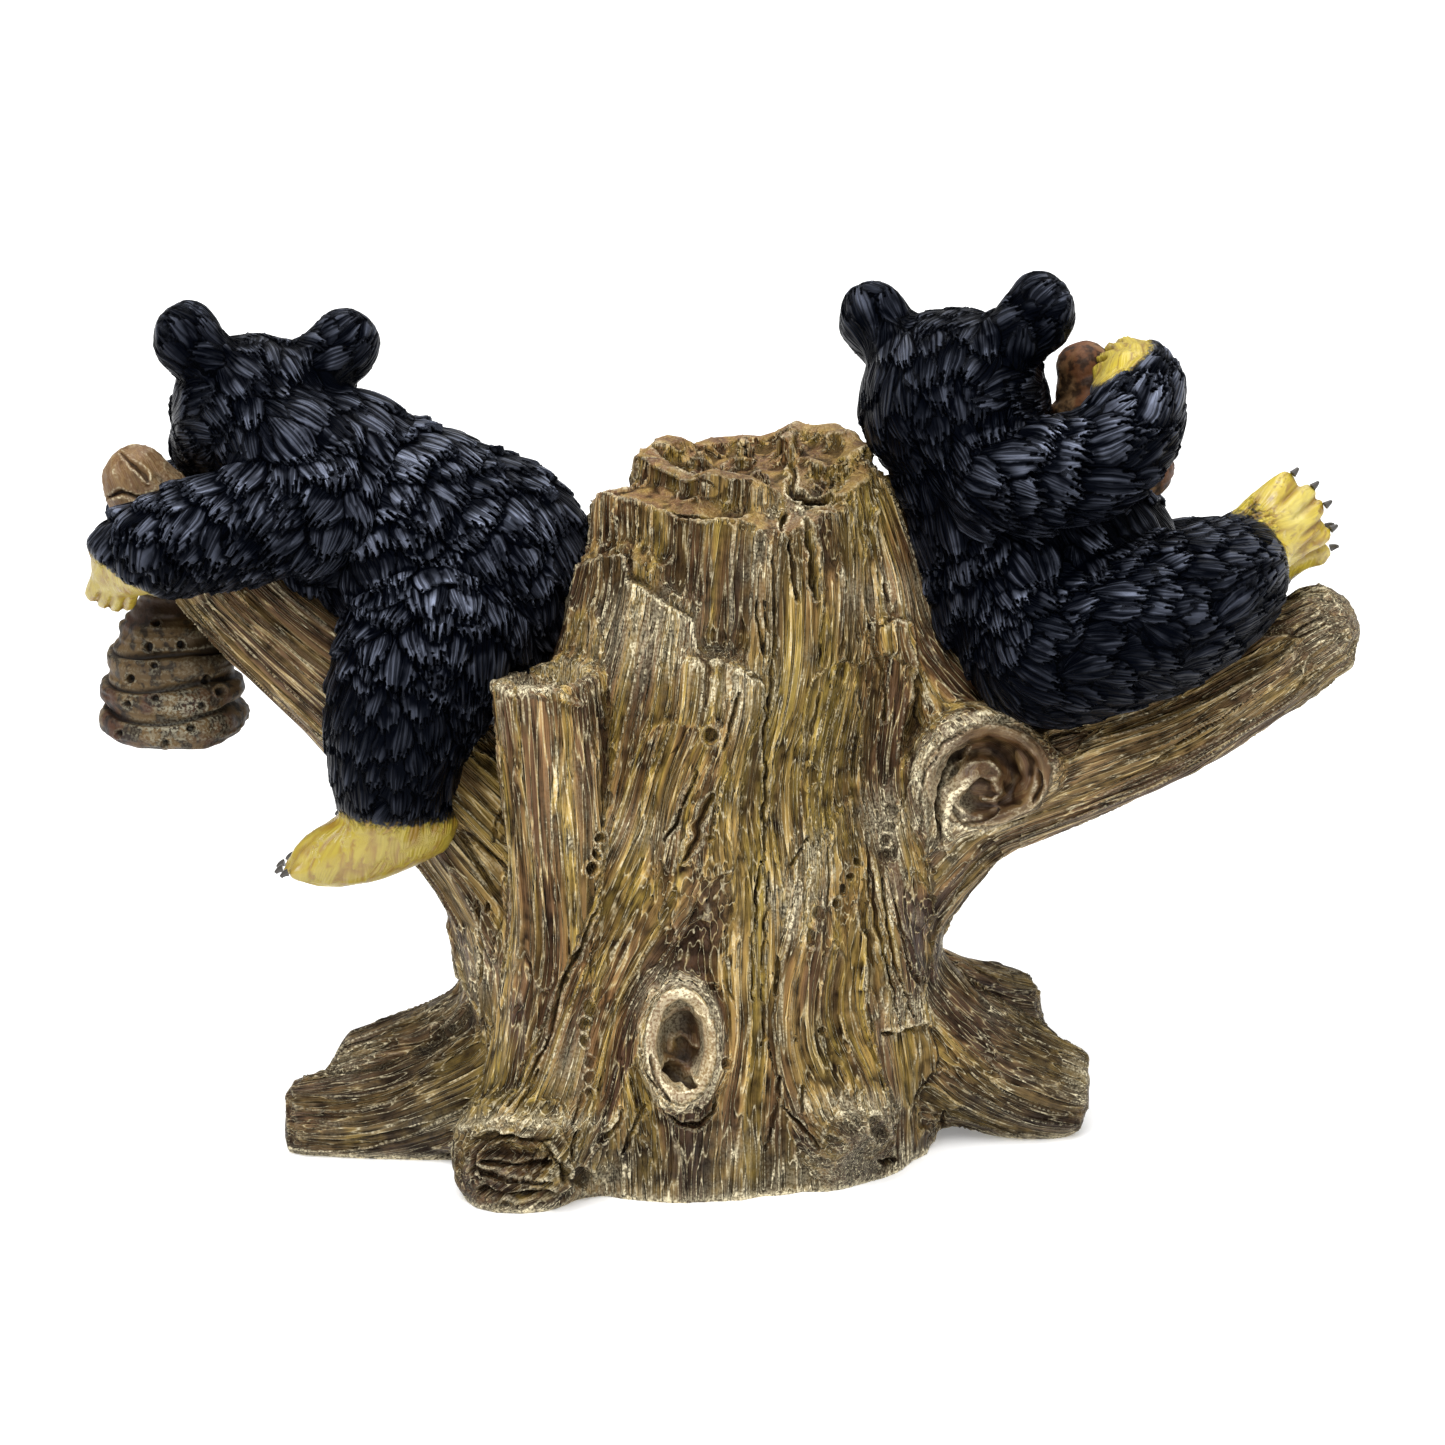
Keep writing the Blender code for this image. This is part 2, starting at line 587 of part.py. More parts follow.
def climber_forms(bm, unit, seat):
    """The climbing cub, lying along the left branch with its limbs on both sides of it."""
    def here(*point):
        return (point[0] + seat[0], point[1] + seat[1], point[2] + seat[2], *point[3:])

    add_egg(bm, unit, here(-12, 2, 46), (18, 18, 19))
    add_egg(bm, unit, here(3, 2, 37), (19.5, 19.5, 20))
    add_egg(bm, unit, here(14.5, 2, 30.5), (20.5, 20, 21.2))
    add_egg(bm, unit, here(-19, 3, 54), (14, 13, 13))
    add_egg(bm, unit, here(-20, -4.5, 55), (13, 11, 12))
    ears = [here(-37, -1, 74.5), here(-9.5, 9, 71.3)]
    add_head(bm, unit, here(-26, 4, 59.5), (-0.4, 0.88, -0.22), 15.6, ears, 6.9)
    middle, across = (0, seat[1] + 2, 0), (0, 1, 0)
    arm = [
        here(-12, -8, 46, 11.5), here(-22, -11, 44.5, 10.8), here(-31, -13, 41.8, 9.6),
        here(-41.5, -13.5, 38.6, 8.6), here(-48, -11, 36, 7.2),
    ]
    leg = [here(9, -8, 22, 17), here(3, -13, 12, 15.2), here(0, -15, 0, 12.8), here(-0.5, -15, -8, 10.6)]
    foot = [here(5, -15, -13, 6.8), here(-5, -16, -16.6, 7.4), here(-13.5, -16.5, -19.4, 6.0)]
    # the far hind leg stands a little further back than the near one
    for limb, back in ((arm, 0), (leg, 4), (foot, 8)):
        add_limb(bm, unit, limb)
        far = [mirror_point(p, middle, across) for p in limb]
        add_limb(bm, unit, [(p[0] + back, *p[1:]) for p in far])
    for hand in (-1, 1):
        side = 2 + hand * 12
        add_paw(bm, unit, here(-50.3, side, 31.5), (-0.3, -hand * 0.3, -0.85), (1, 0, 0), 6.2)
        side = 2 + hand * 18
        toes = -12.5 if hand < 0 else -4.5
        add_paw(bm, unit, here(toes, side, -19.4), (-0.95, 0, -0.25), (0, 1, 0), 7.8)


def sitter_forms(bm, unit, seat):
    """The sitting cub, leaning back on the trunk with its knees apart and a hive in its paws."""
    def here(*point):
        return (point[0] + seat[0], point[1] + seat[1], point[2] + seat[2], *point[3:])

    add_egg(bm, unit, here(-11, 2, 52), (18, 17.5, 17))
    add_egg(bm, unit, here(-4, 1, 38), (21, 20, 22))
    add_egg(bm, unit, here(2.5, 1, 30), (21, 19.5, 19.5))
    add_egg(bm, unit, here(4, 1, 43), (17.5, 17, 17.5))
    add_egg(bm, unit, here(-19, 0, 58), (12.5, 13, 10))
    add_egg(bm, unit, here(-13, -7, 64), (12, 11, 9))
    ears = [here(-34.0, 9, 84.7), here(-4.8, -5, 89.2)]
    add_head(bm, unit, here(-19.6, 2, 71.2), (0.6, 0.8, -0.08), 18.0, ears, 7.5)
    middle = here(-4, 1, 0)[:3]
    across = (0, 1, 0)
    arm = [
        here(-12, -9, 60, 11.5), here(-3, -13, 61.5, 10.3), here(5.5, -14.5, 64, 9.2),
        here(11.8, -12.5, 70, 8.4), here(12.4, -8, 76.5, 7.0),
    ]
    far_arm = [here(-9, 16, 54, 11), here(4, 24, 56, 9.5), here(14, 27, 60, 8.5), here(16, 22, 66, 7)]
    leg = [
        here(-2, -9, 29, 16.5), here(12, -13, 33, 15), here(23, -13, 37.5, 13.6), here(30.5, -10, 41.5, 11.2),
        here(34, -5, 44.5, 8),
    ]
    for limb in (arm, far_arm, leg):
        add_limb(bm, unit, limb)
    drop = Vector((1, 0, -5))
    add_limb(bm, unit, [(*(Vector(mirror_point(p, middle, across)[:3]) + drop), p[3]) for p in leg])
    foot = here(39, -3, 48.6)
    far_foot = Vector(mirror_point(foot, middle, across)) + drop
    add_paw(bm, unit, foot, (0.75, 0.25, 0.5), (0.55, -0.1, -0.78), 9.4)
    add_paw(bm, unit, far_foot, (0.75, -0.25, 0.5), (0.55, 0.1, -0.78), 9.4)
    add_paw(bm, unit, here(11, -3, 80), (-0.5, 0.8, -0.05), (0.6, 0.5, 0.6), 5.6)
    add_paw(bm, unit, here(16, 19, 68), (0.1, -0.8, 0.5), (0.8, 0, 0.6), 5.8)


def build_cub(name, forms, unit, seat, cutters):
    """A cub cast in one piece, hollowed where it meets its neighbours."""
    bm = bmesh.new()
    forms(bm, unit * MM, seat)
    cub = place_object(name, mesh_of(bm, name))
    melt(cub, CUB_GRAIN * unit, 7)
    thin_faces(cub, CUB_FACES)
    carve(cub, cutters)
    paint(cub, name + " black paint", (0.010, 0.010, 0.014), 0.35)
    return cub


def centre_on_base():
    """Moves all pieces together, so that the row's origin is under the middle of its box."""
    meshes = [obj.data for obj in bpy.data.objects if not obj.hide_render]
    places = [vert.co for mesh in meshes for vert in mesh.vertices]
    middle = Vector(((min(p[axis] for p in places) + max(p[axis] for p in places)) / 2 for axis in (0, 1)))
    for mesh in meshes:
        mesh.transform(Matrix.Translation((-middle.x, -middle.y, 0)))


def main():
    for obj in list(bpy.data.objects):
        bpy.data.objects.remove(obj)
    tree = build_tree()
    tree_room = clearance_around(tree, "tree_room")

    hive_top = Vector(HIVE_TOP) * TREE_UNIT * MM
    hive = build_hive("hanging_hive", HIVE_WIDTH, HIVE_HEIGHT, hive_top, 0.0)
    hive_room = clearance_around(hive, "hive_room")
    carve(hive, [tree_room])

    climber_seat = [value * TREE_UNIT / CLIMBER_UNIT for value in CLIMBER_SEAT]
    build_cub("climbing_bear", climber_forms, CLIMBER_UNIT, climber_seat, [tree_room, hive_room])

    sitter_seat = [value * TREE_UNIT / SITTER_UNIT for value in SITTER_SEAT]
    held_top = (Vector(sitter_seat) + Vector(HELD_HIVE_TOP)) * SITTER_UNIT * MM
    held = build_hive("held_hive", HELD_HIVE_WIDTH, HELD_HIVE_HEIGHT, held_top, HELD_HIVE_LEAN)
    held_room = clearance_around(held, "held_room")
    build_cub("sitting_bear", sitter_forms, SITTER_UNIT, sitter_seat, [tree_room, held_room])
    centre_on_base()


main()
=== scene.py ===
import math

import bmesh
import bpy
import numpy as np
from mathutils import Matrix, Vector
from mathutils.kdtree import KDTree


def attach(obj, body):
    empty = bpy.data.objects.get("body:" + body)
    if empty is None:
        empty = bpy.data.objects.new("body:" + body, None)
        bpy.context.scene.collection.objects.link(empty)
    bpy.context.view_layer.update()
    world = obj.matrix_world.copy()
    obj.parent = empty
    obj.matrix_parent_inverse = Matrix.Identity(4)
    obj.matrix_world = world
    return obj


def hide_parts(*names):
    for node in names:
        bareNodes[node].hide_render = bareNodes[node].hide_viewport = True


# Cast resin ornament: two black bear cubs on a broken tree stump, with two straw hives.
# Lengths are in millimetres unless a line says otherwise. The tree's own axis is the drawing's origin.
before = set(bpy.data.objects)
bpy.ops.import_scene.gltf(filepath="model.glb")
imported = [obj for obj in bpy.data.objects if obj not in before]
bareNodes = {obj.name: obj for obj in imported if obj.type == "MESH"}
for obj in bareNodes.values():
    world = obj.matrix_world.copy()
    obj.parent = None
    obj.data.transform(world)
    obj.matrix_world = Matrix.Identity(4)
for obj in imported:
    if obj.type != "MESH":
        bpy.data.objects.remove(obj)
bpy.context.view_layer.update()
mm = 0.001
drawingOrigin = np.array((-0.62, -0.66, 0.0), np.float32)
noiseTables = {}
tableSize = 64

studio = {
    "lens": 108.6,
    "aim": (0.0, -11.0, 86.0),  # in the drawing
    "distance": 800.0,
    "elevation": 16.0,
    "paper": "#f2f2f2",
    "glow": 0.22,  # light of the paper's own, as on a light table, so shadows stay faint
    "sky": 0.32,
    # compass angle from the camera's side, height above the floor, strength and softness; angles in degrees
    "suns": [(-22, 58, 3.4, 44), (165, 64, 1.4, 60), (62, 30, 0.45, 50)],
}


def toLinear(colour):
    parts = [int(colour[i:i + 2], 16) / 255 for i in (1, 3, 5)]
    return (*(p / 12.92 if p <= 0.04045 else ((p + 0.055) / 1.055) ** 2.4 for p in parts), 1.0)


def addNode(tree, kind, settings=None, inputs=None):
    # an input may be a number, a socket, or a node, which is linked by its first enabled output
    node = tree.nodes.new(kind)
    for name, value in (settings or {}).items():
        if name == "stops":
            ramp = node.color_ramp.elements
            while len(ramp) < len(value):
                ramp.new(0.5)
            for element, (place, colour) in zip(ramp, value):
                element.position = place
                element.color = colour
        else:
            setattr(node, name, value)
    for key, value in (inputs or {}).items():
        if isinstance(value, bpy.types.Node):
            value = next(socket for socket in value.outputs if socket.enabled)
        if isinstance(value, bpy.types.NodeSocket):
            tree.links.new(value, node.inputs[key])
        else:
            node.inputs[key].default_value = value
    return node


def newPaint(name):
    material = bpy.data.materials.new(name)
    material.use_nodes = True
    return material, material.node_tree, material.node_tree.nodes["Principled BSDF"]


def perMm(size):
    # a noise texture's scale for a pattern of this size, as object coordinates are in metres
    return 1 / (size * mm)


def readPlaces(mesh):
    places = np.empty(len(mesh.vertices) * 3, np.float32)
    mesh.vertices.foreach_get("co", places)
    return places.reshape(-1, 3) / np.float32(mm) - drawingOrigin


def readNormals(mesh):
    normals = np.empty(len(mesh.vertices) * 3, np.float32)
    mesh.vertex_normals.foreach_get("vector", normals)
    return normals.reshape(-1, 3)


def writePlaces(mesh, places):
    mesh.vertices.foreach_set("co", ((places + drawingOrigin) * mm).astype(np.float32).ravel())
    mesh.update()


def storeValues(mesh, name, values):
    kind = "FLOAT" if values.ndim == 1 else "FLOAT_VECTOR"
    layer = mesh.attributes.new(name, kind, "POINT")
    layer.data.foreach_set("value" if values.ndim == 1 else "vector", values.astype(np.float32).ravel())


def addObject(name, mesh):
    piece = bpy.data.objects.new(name, mesh)
    bpy.context.scene.collection.objects.link(piece)
    return piece


def bakeModifiers(piece):
    graph = bpy.context.evaluated_depsgraph_get()
    mesh = bpy.data.meshes.new_from_object(piece.evaluated_get(graph), depsgraph=graph)
    piece.modifiers.clear()
    old, piece.data = piece.data, mesh
    bpy.data.meshes.remove(old)


def unit(vectors):
    return vectors / np.maximum(np.linalg.norm(vectors, axis=-1, keepdims=True), 1e-6)


def step(low, high, values):
    # smooth rise from 0 at low to 1 at high
    t = np.clip((values - low) / (high - low), 0, 1)
    return t * t * (3 - 2 * t)


def bell(values, width):
    # 1 at zero, and next to nothing at twice the width
    return np.exp(-(values / width) ** 2)


def neighbourMean(values, edges, count):
    a, b = edges[:, 0], edges[:, 1]
    total = np.bincount(a, values[b], count) + np.bincount(b, values[a], count)
    shared = np.bincount(a, minlength=count) + np.bincount(b, minlength=count)
    return (total / np.maximum(shared, 1)).astype(np.float32)


def readEdges(mesh):
    edges = np.empty(len(mesh.edges) * 2, np.int32)
    mesh.edges.foreach_get("vertices", edges)
    return edges.reshape(-1, 2)


def convexity(mesh, stages):
    # how far each point stands out from its softened surroundings, in mm, after each number of rounds
    places, normals, edges = readPlaces(mesh), readNormals(mesh), readEdges(mesh)
    soft = places.copy()
    results, done = [], 0
    for rounds in stages:
        for _ in range(rounds - done):
            for axis in range(3):
                soft[:, axis] = neighbourMean(soft[:, axis], edges, len(places))
        done = rounds
        results.append(((places - soft) * normals).sum(1))
    return results


def lattice(points, cell, seed):
    # smooth noise from -1 to 1 with bumps of the given size
    if seed not in noiseTables:
        noiseTables[seed] = np.random.default_rng(seed).random(tableSize ** 3, np.float32) * 2 - 1
    table = noiseTables[seed]
    scaled = points / np.float32(cell) + np.float32(512)
    base = scaled.astype(np.int32)
    part = scaled - base
    part = part * part * (3 - 2 * part)
    last = tableSize - 1
    low, high = base & last, (base + 1) & last
    xs = (low[:, 0] * tableSize ** 2, high[:, 0] * tableSize ** 2)
    ys = (low[:, 1] * tableSize, high[:, 1] * tableSize)
    zs = (low[:, 2], high[:, 2])
    px, py, pz = part[:, 0], part[:, 1], part[:, 2]
    rows = []
    for x in xs:
        for y in ys:
            near, far = table[x + y + zs[0]], table[x + y + zs[1]]
            rows.append(near + (far - near) * pz)
    a = rows[0] + (rows[1] - rows[0]) * py
    b = rows[2] + (rows[3] - rows[2]) * py
    return a + (b - a) * px


def limbShares(places, limbs, power=8):
    # each limb is a run of (x, y, z, radius): how much each point belongs to it, and the way it grows there
    shares = np.zeros((len(limbs), len(places)), np.float32)
    ways = np.zeros_like(places)
    for number, path in enumerate(limbs):
        for start, end in zip(path, path[1:]):
            a, b = np.array(start[:3], np.float32), np.array(end[:3], np.float32)
            line = b - a
            length = float(np.linalg.norm(line))
            t = np.clip((places - a) @ line / length ** 2, 0, 1)
            away = np.linalg.norm(places - a - t[:, None] * line, axis=1)
            ratio = away / (start[3] + (end[3] - start[3]) * t)
            weight = np.maximum(ratio, 0.2) ** -power
            shares[number] = np.maximum(shares[number], weight)
            ways += weight[:, None] * (line / length)
    return shares / shares.sum(0), unit(ways)


def smoothPath(path, steps):
    # a soft run through the given points
    path = np.array(path, np.float32)
    ends = np.vstack((2 * path[0] - path[1], path, 2 * path[-1] - path[-2]))
    run = []
    for a, b, c, d in zip(ends, ends[1:], ends[2:], ends[3:]):
        for t in np.arange(steps, dtype=np.float32) / steps:
            bend = c - a + (2 * a - 5 * b + 4 * c - d) * t
            run.append(b + t / 2 * (bend + (3 * b - a - 3 * c + d) * t * t))
    run.append(path[-1])
    return np.array(run, np.float32)


def strandSpace(places, path):
    # where each point lies across a limb, drawn at the limb's mean thickness, and how far along it
    run = smoothPath(path, 4)
    centres, radii = run[:, :3], run[:, 3]
    lines = centres[1:] - centres[:-1]
    lengths = np.linalg.norm(lines, axis=1)
    ways = lines / lengths[:, None]
    corners = unit(np.vstack((ways[:1], ways[:-1] + ways[1:], ways[-1:])))
    frames = [unit(np.cross(ways[0], np.array((0.3, 1.0, 0.2), np.float32)))]
    for corner in corners[1:]:
        frames.append(unit(frames[-1] - corner * (frames[-1] @ corner)))
    best = np.full(len(places), np.inf, np.float32)
    spots = np.zeros((len(places), 3), np.float32)
    done, last = 0.0, len(lines) - 1
    for i in range(len(lines)):
        # the first and the last stretch go on past their ends
        least, most = -9 if i == 0 else 0, 9 if i == last else 1
        t = np.clip((places - centres[i]) @ lines[i] / lengths[i] ** 2, least, most)
        offset = places - centres[i] - t[:, None] * lines[i]
        held = np.clip(t, 0, 1)
        radius = radii[i] + (radii[i + 1] - radii[i]) * held
        away = np.linalg.norm(offset, axis=1)
        closer = away < best
        side = frames[i] + (frames[i + 1] - frames[i]) * held[closer, None]
        other = np.cross(ways[i], side)
        scale = radii.mean() / radius[closer]
        spots[closer, 0] = (offset[closer] * side).sum(1) * scale
        spots[closer, 1] = (offset[closer] * other).sum(1) * scale
        spots[closer, 2] = done + t[closer] * lengths[i]
        best[closer] = away[closer]
        done += lengths[i]
    return spots


def onSurface(ways, normals):
    return unit(ways - (ways * normals).sum(1, keepdims=True) * normals)


def turned(ways, normals, angle):
    return ways * np.cos(angle)[:, None] + np.cross(normals, ways) * np.sin(angle)[:, None]


def pictureSpots(places):
    # across and up in the picture's plane, in mm, as the camera sees each place
    lift = math.radians(studio["elevation"])
    offset = places - np.array(studio["aim"], np.float32)
    toCamera = offset @ np.array((0, -math.cos(lift), math.sin(lift)), np.float32)
    height = offset @ np.array((0, math.sin(lift), math.cos(lift)), np.float32)
    depth = 1 - toCamera / studio["distance"]
    return np.stack((offset[:, 0], height), 1) / depth[:, None]


def bareCopy(nodeName):
    # the CAD mesh is loose triangles, so the copy is merged
    form = bmesh.new()
    form.from_mesh(bareNodes[nodeName].data)
    bmesh.ops.remove_doubles(form, verts=form.verts, dist=0.002 * mm)
    mesh = bpy.data.meshes.new(nodeName + "_form")
    form.to_mesh(mesh)
    form.free()
    return mesh


def roundFacets(piece):
    # a subdivision surface shrinks, so its corners are first moved out by what it will take off
    corners = readPlaces(piece.data)
    soft = piece.modifiers.new("round facets", "SUBSURF")
    soft.levels = soft.render_levels = 1
    graph = bpy.context.evaluated_depsgraph_get()
    trial = bpy.data.meshes.new_from_object(piece.evaluated_get(graph), depsgraph=graph)
    shrunk = readPlaces(trial)[:len(corners)]
    bpy.data.meshes.remove(trial)
    writePlaces(piece.data, corners + 0.9 * (corners - shrunk))
    bakeModifiers(piece)


def fineSkin(piece, cell, smoothing):
    # one closed skin of small cells over whatever the piece is made of
    skin = piece.modifiers.new("skin", "REMESH")
    skin.mode = "VOXEL"
    skin.voxel_size = cell * mm
    soften = piece.modifiers.new("soften", "SMOOTH")
    soften.factor = 0.5
    soften.iterations = smoothing
    bakeModifiers(piece)


def thinned(piece, triangles, values):
    # fewer faces where it is flat; the painted values are read back from the nearest point
    tree = KDTree(len(piece.data.vertices))
    for index, vertex in enumerate(piece.data.vertices):
        tree.insert(vertex.co, index)
    tree.balance()
    thin = piece.modifiers.new("thin", "DECIMATE")
    thin.ratio = min(1.0, triangles / (2 * len(piece.data.polygons)))
    bakeModifiers(piece)
    nearest = np.array([tree.find(vertex.co)[1] for vertex in piece.data.vertices])
    for name, numbers in values.items():
        storeValues(piece.data, name, numbers[nearest])
    piece.data.shade_smooth()
    return nearest


def finishPiece(piece, material, node=None):
    piece.data.materials.clear()
    piece.data.materials.append(material)
    for polygon in piece.data.polygons:
        polygon.material_index = 0
    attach(piece, "root")
    if node:
        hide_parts(node)


def growNodes(name, sockets):
    # an empty Geometry Nodes tree with named inputs; gives the tree, its inputs and their inner names
    tree = bpy.data.node_groups.new(name, "GeometryNodeTree")
    tree.interface.new_socket(name="Geometry", in_out="INPUT", socket_type="NodeSocketGeometry")
    keys = {}
    for label, kind in sockets.items():
        socket = tree.interface.new_socket(name=label, in_out="INPUT", socket_type="NodeSocket" + kind)
        keys[label] = socket.identifier
    tree.interface.new_socket(name="Geometry", in_out="OUTPUT", socket_type="NodeSocketGeometry")
    return tree, tree.nodes.new("NodeGroupInput").outputs, keys


def endNodes(tree, geometry, material):
    whole = addNode(tree, "GeometryNodeRealizeInstances", None, {"Geometry": geometry})
    painted = addNode(tree, "GeometryNodeSetMaterial", None, {"Geometry": whole, "Material": material})
    addNode(tree, "NodeGroupOutput", None, {"Geometry": painted})


def runNodes(piece, tree, keys, values):
    grow = piece.modifiers.new(tree.name, "NODES")
    grow.node_group = tree
    for label, value in values.items():
        grow[keys[label]] = value
    bakeModifiers(piece)


def scatterSeeds(places, spacing, seed):
    # one point for each small cell of space, less those that came out too near each other
    rng = np.random.default_rng(seed)
    order = rng.permutation(len(places))
    cells = np.floor(places[order] / spacing).astype(np.int64)
    keys = (cells[:, 0] * 4093 + cells[:, 1]) * 4093 + cells[:, 2]
    picks = order[np.unique(keys, return_index=True)[1]]
    tree = KDTree(len(picks))
    for index, pick in enumerate(picks):
        tree.insert(places[pick], index)
    tree.balance()
    kept = np.ones(len(picks), bool)
    for index, pick in enumerate(picks):
        if kept[index]:
            for _, other, _ in tree.find_range(places[pick], spacing * 0.62):
                if other > index:
                    kept[other] = False
    return picks[kept]


lockWidest = 0.55  # how far along its length a lock is widest
lockRoot = 0.4  # where its seed lies along it


def drawLocks(places, normals, ways, seeds, look, shaggy):
    # each lock of fur: its root, its frame and its size
    rng = np.random.default_rng(look["seed"])
    rough = shaggy[seeds]
    sizes = []
    for name in ("lockLength", "lockWidth", "lockRise"):
        sleek, long = look[name]
        sizes.append((sleek + (long - sleek) * rough) * (0.8 + 0.4 * rng.random(len(seeds))))
    swing = (rng.random(len(seeds)) - 0.5) * look["lockTurn"]
    way = turned(ways[seeds], normals[seeds], swing)
    return {
        "root": places[seeds], "normal": normals[seeds], "way": way, "across": np.cross(normals[seeds], way),
        "length": sizes[0], "width": sizes[1], "rise": sizes[2],
    }


def lockHalf(t, least=0):
    # a lock's half width at a share t of its length: rounded at the root and drawn in to the tip
    rootward = np.sqrt(np.clip(t / lockWidest, least, 1))
    return np.where(t < lockWidest, rootward, 1 - 0.55 * (np.clip(t - lockWidest, 0, 0.6) / 0.45) ** 1.7)


def lockSpots(places, drawn, owner):
    # how far along its lock each point is, from 0 to 1, and how far to the side in mm of even hair
    offset = places - drawn["root"][owner]
    t = (offset * drawn["way"][owner]).sum(1) / drawn["length"][owner] + lockRoot
    side = (offset * drawn["across"][owner]).sum(1)
    return t, side / lockHalf(t, 0.05)


def hairNoise(t, side, drawn, owner, cell, seed):
    # hair runs along its lock and gathers towards the tip
    along = t * drawn["length"][owner] / 9
    return lattice(np.stack((side, along, owner * 5.3), 1).astype(np.float32), cell, seed)


def layLocks(places, normals, drawn, look, strength):
    # overlapping locks: each rises towards its tip and ends in a ragged step, like a shingle
    cell = max(drawn["length"]) * 0.66
    low = places.min(0) - 2 * cell
    spots = np.floor((places - low) / cell).astype(np.int64)
    size = spots.max(0) + 3
    keys = (spots[:, 0] * size[1] + spots[:, 1]) * size[2] + spots[:, 2]
    order = np.argsort(keys, kind="stable")
    sortedKeys = keys[order]
    homes = np.floor((drawn["root"] - low) / cell).astype(np.int64)
    relief = np.zeros(len(places), np.float32)
    owner = np.full(len(places), -1, np.int32)
    for number, home in enumerate(homes):
        parts = []
        for dx in (-1, 0, 1):
            for dy in (-1, 0, 1):
                row = ((home[0] + dx) * size[1] + home[1] + dy) * size[2] + home[2]
                first, last = np.searchsorted(sortedKeys, (row - 1, row + 2))
                parts.append(order[first:last])
        near = np.concatenate(parts)
        length, width, rise = drawn["length"][number], drawn["width"][number], drawn["rise"][number]
        offset = places[near] - drawn["root"][number]
        t = offset @ drawn["way"][number] / length + lockRoot
        across = offset @ drawn["across"][number]
        inside = (t > 0) & (t < 1) & (np.abs(across) < width * 0.5)
        near, offset, t, across = near[inside], offset[inside], t[inside], across[inside]
        lift = offset @ drawn["normal"][number]
        inside = (np.abs(lift) < 3.2) & (normals[near] @ drawn["normal"][number] > 0.35)
        near, t, across = near[inside], t[inside], across[inside]
        side = across / np.maximum(0.5 * width * lockHalf(t), 0.05)
        teeth = 0.06 * np.sin(across * 8.7 + number) + 0.06 * np.sin(across * 4.3 + 2.7 * number)
        fringe = 0.9 - (teeth + 0.04 * np.sin(across * 13.1)) - 0.2 * side ** 2
        inside = (np.abs(side) < 1) & (t < fringe)
        near, t, side = near[inside], t[inside], side[inside]
        height = rise * strength[near] * (0.1 + 0.9 * t ** 1.25) * (1 - np.abs(side) ** 3) ** 0.4
        better = height > relief[near]
        near = near[better]
        relief[near] = height[better]
        owner[near] = number
    return relief, owner


def mirrored(path, middle, back=0):
    return [(p[0] + back, 2 * middle - p[1], *p[2:]) for p in path]


def headAxes(cub):
    ahead = unit(np.array(cub["facing"], np.float32))
    side = unit(np.cross(ahead, (0, 0, 1)).astype(np.float32))
    return ahead, side, np.cross(side, ahead)


def furWays(places, cub):
    # along the limbs, down the back, away from the face on the head and outwards on the ears
    seat = np.array(cub["seat"], np.float32)
    limbs = [[(*(np.array(p[:3]) + seat), p[3]) for p in path] for path in cub["limbs"]]
    total = unit(limbShares(places, limbs)[1] - cub["fall"] * np.array((0, 0, 1), np.float32))
    for centre, reach, way in cub["combed"]:
        away = np.linalg.norm(places - np.array(centre, np.float32) - seat, axis=1)
        near = step(reach, reach * 0.55, away)[:, None]
        total = unit(total * (1 - near) + unit(np.array(way, np.float32)) * near)
    middle = np.array(cub["head"], np.float32) + seat
    ahead = headAxes(cub)[0]
    size = cub["headSize"]
    face = middle + ahead * size * 0.9
    onHead = step(1.32, 1.02, np.linalg.norm(places - middle, axis=1) / size)[:, None]
    spread = unit(places - face)
    behind = step(-0.2, -0.95, (unit(places - middle) @ ahead))[:, None] * 0.75
    total = total * (1 - onHead) + (spread * (1 - behind) + total * behind) * onHead
    for ear in cub["ears"]:
        centre = np.array(ear, np.float32) + seat
        root = centre + unit(middle - centre) * cub["earRadius"]
        onEar = step(1.45, 1.05, np.linalg.norm(places - centre, axis=1) / cub["earRadius"])[:, None]
        total = total * (1 - onEar) + unit(places - root) * onEar
    return unit(total)


def pawMask(places, cub):
    # how yellow each point is: the paws are sprayed over the black with a soft edge
    mask = np.zeros(len(places), np.float32)
    seat = np.array(cub["seat"], np.float32)
    for centre, way, reach, soft in cub["yellow"]:
        offset = places - (np.array(centre, np.float32) + seat)
        near = step(reach + 5, reach, np.linalg.norm(offset, axis=1))
        ahead = unit(np.array(way, np.float32))
        mask = np.maximum(mask, near * step(-soft, soft, offset @ ahead))
    return mask


def pawFrame(paw):
    centre, toes, row, size, _ = paw
    ahead = unit(np.array(toes, np.float32))
    row = unit(np.array(row, np.float32) - ahead * (np.array(row, np.float32) @ ahead))
    return np.array(centre, np.float32), ahead, row, size


def toeGrooves(places, cub):
    # valleys between the toes
    seat = np.array(cub["seat"], np.float32)
    depth = np.zeros(len(places), np.float32)
    for paw in cub["paws"]:
        centre, ahead, row, size = pawFrame(paw)
        offset = places - centre - seat
        a, r = offset @ ahead / size, offset @ row / size
        near = step(1.5, 1.2, np.linalg.norm(offset, axis=1) / size) * step(0.05, 0.5, a)
        for gap in (-0.44, 0.0, 0.44):
            depth = np.maximum(depth, near * bell(r - gap * (0.9 + 0.1 * a), 0.075))
    return depth


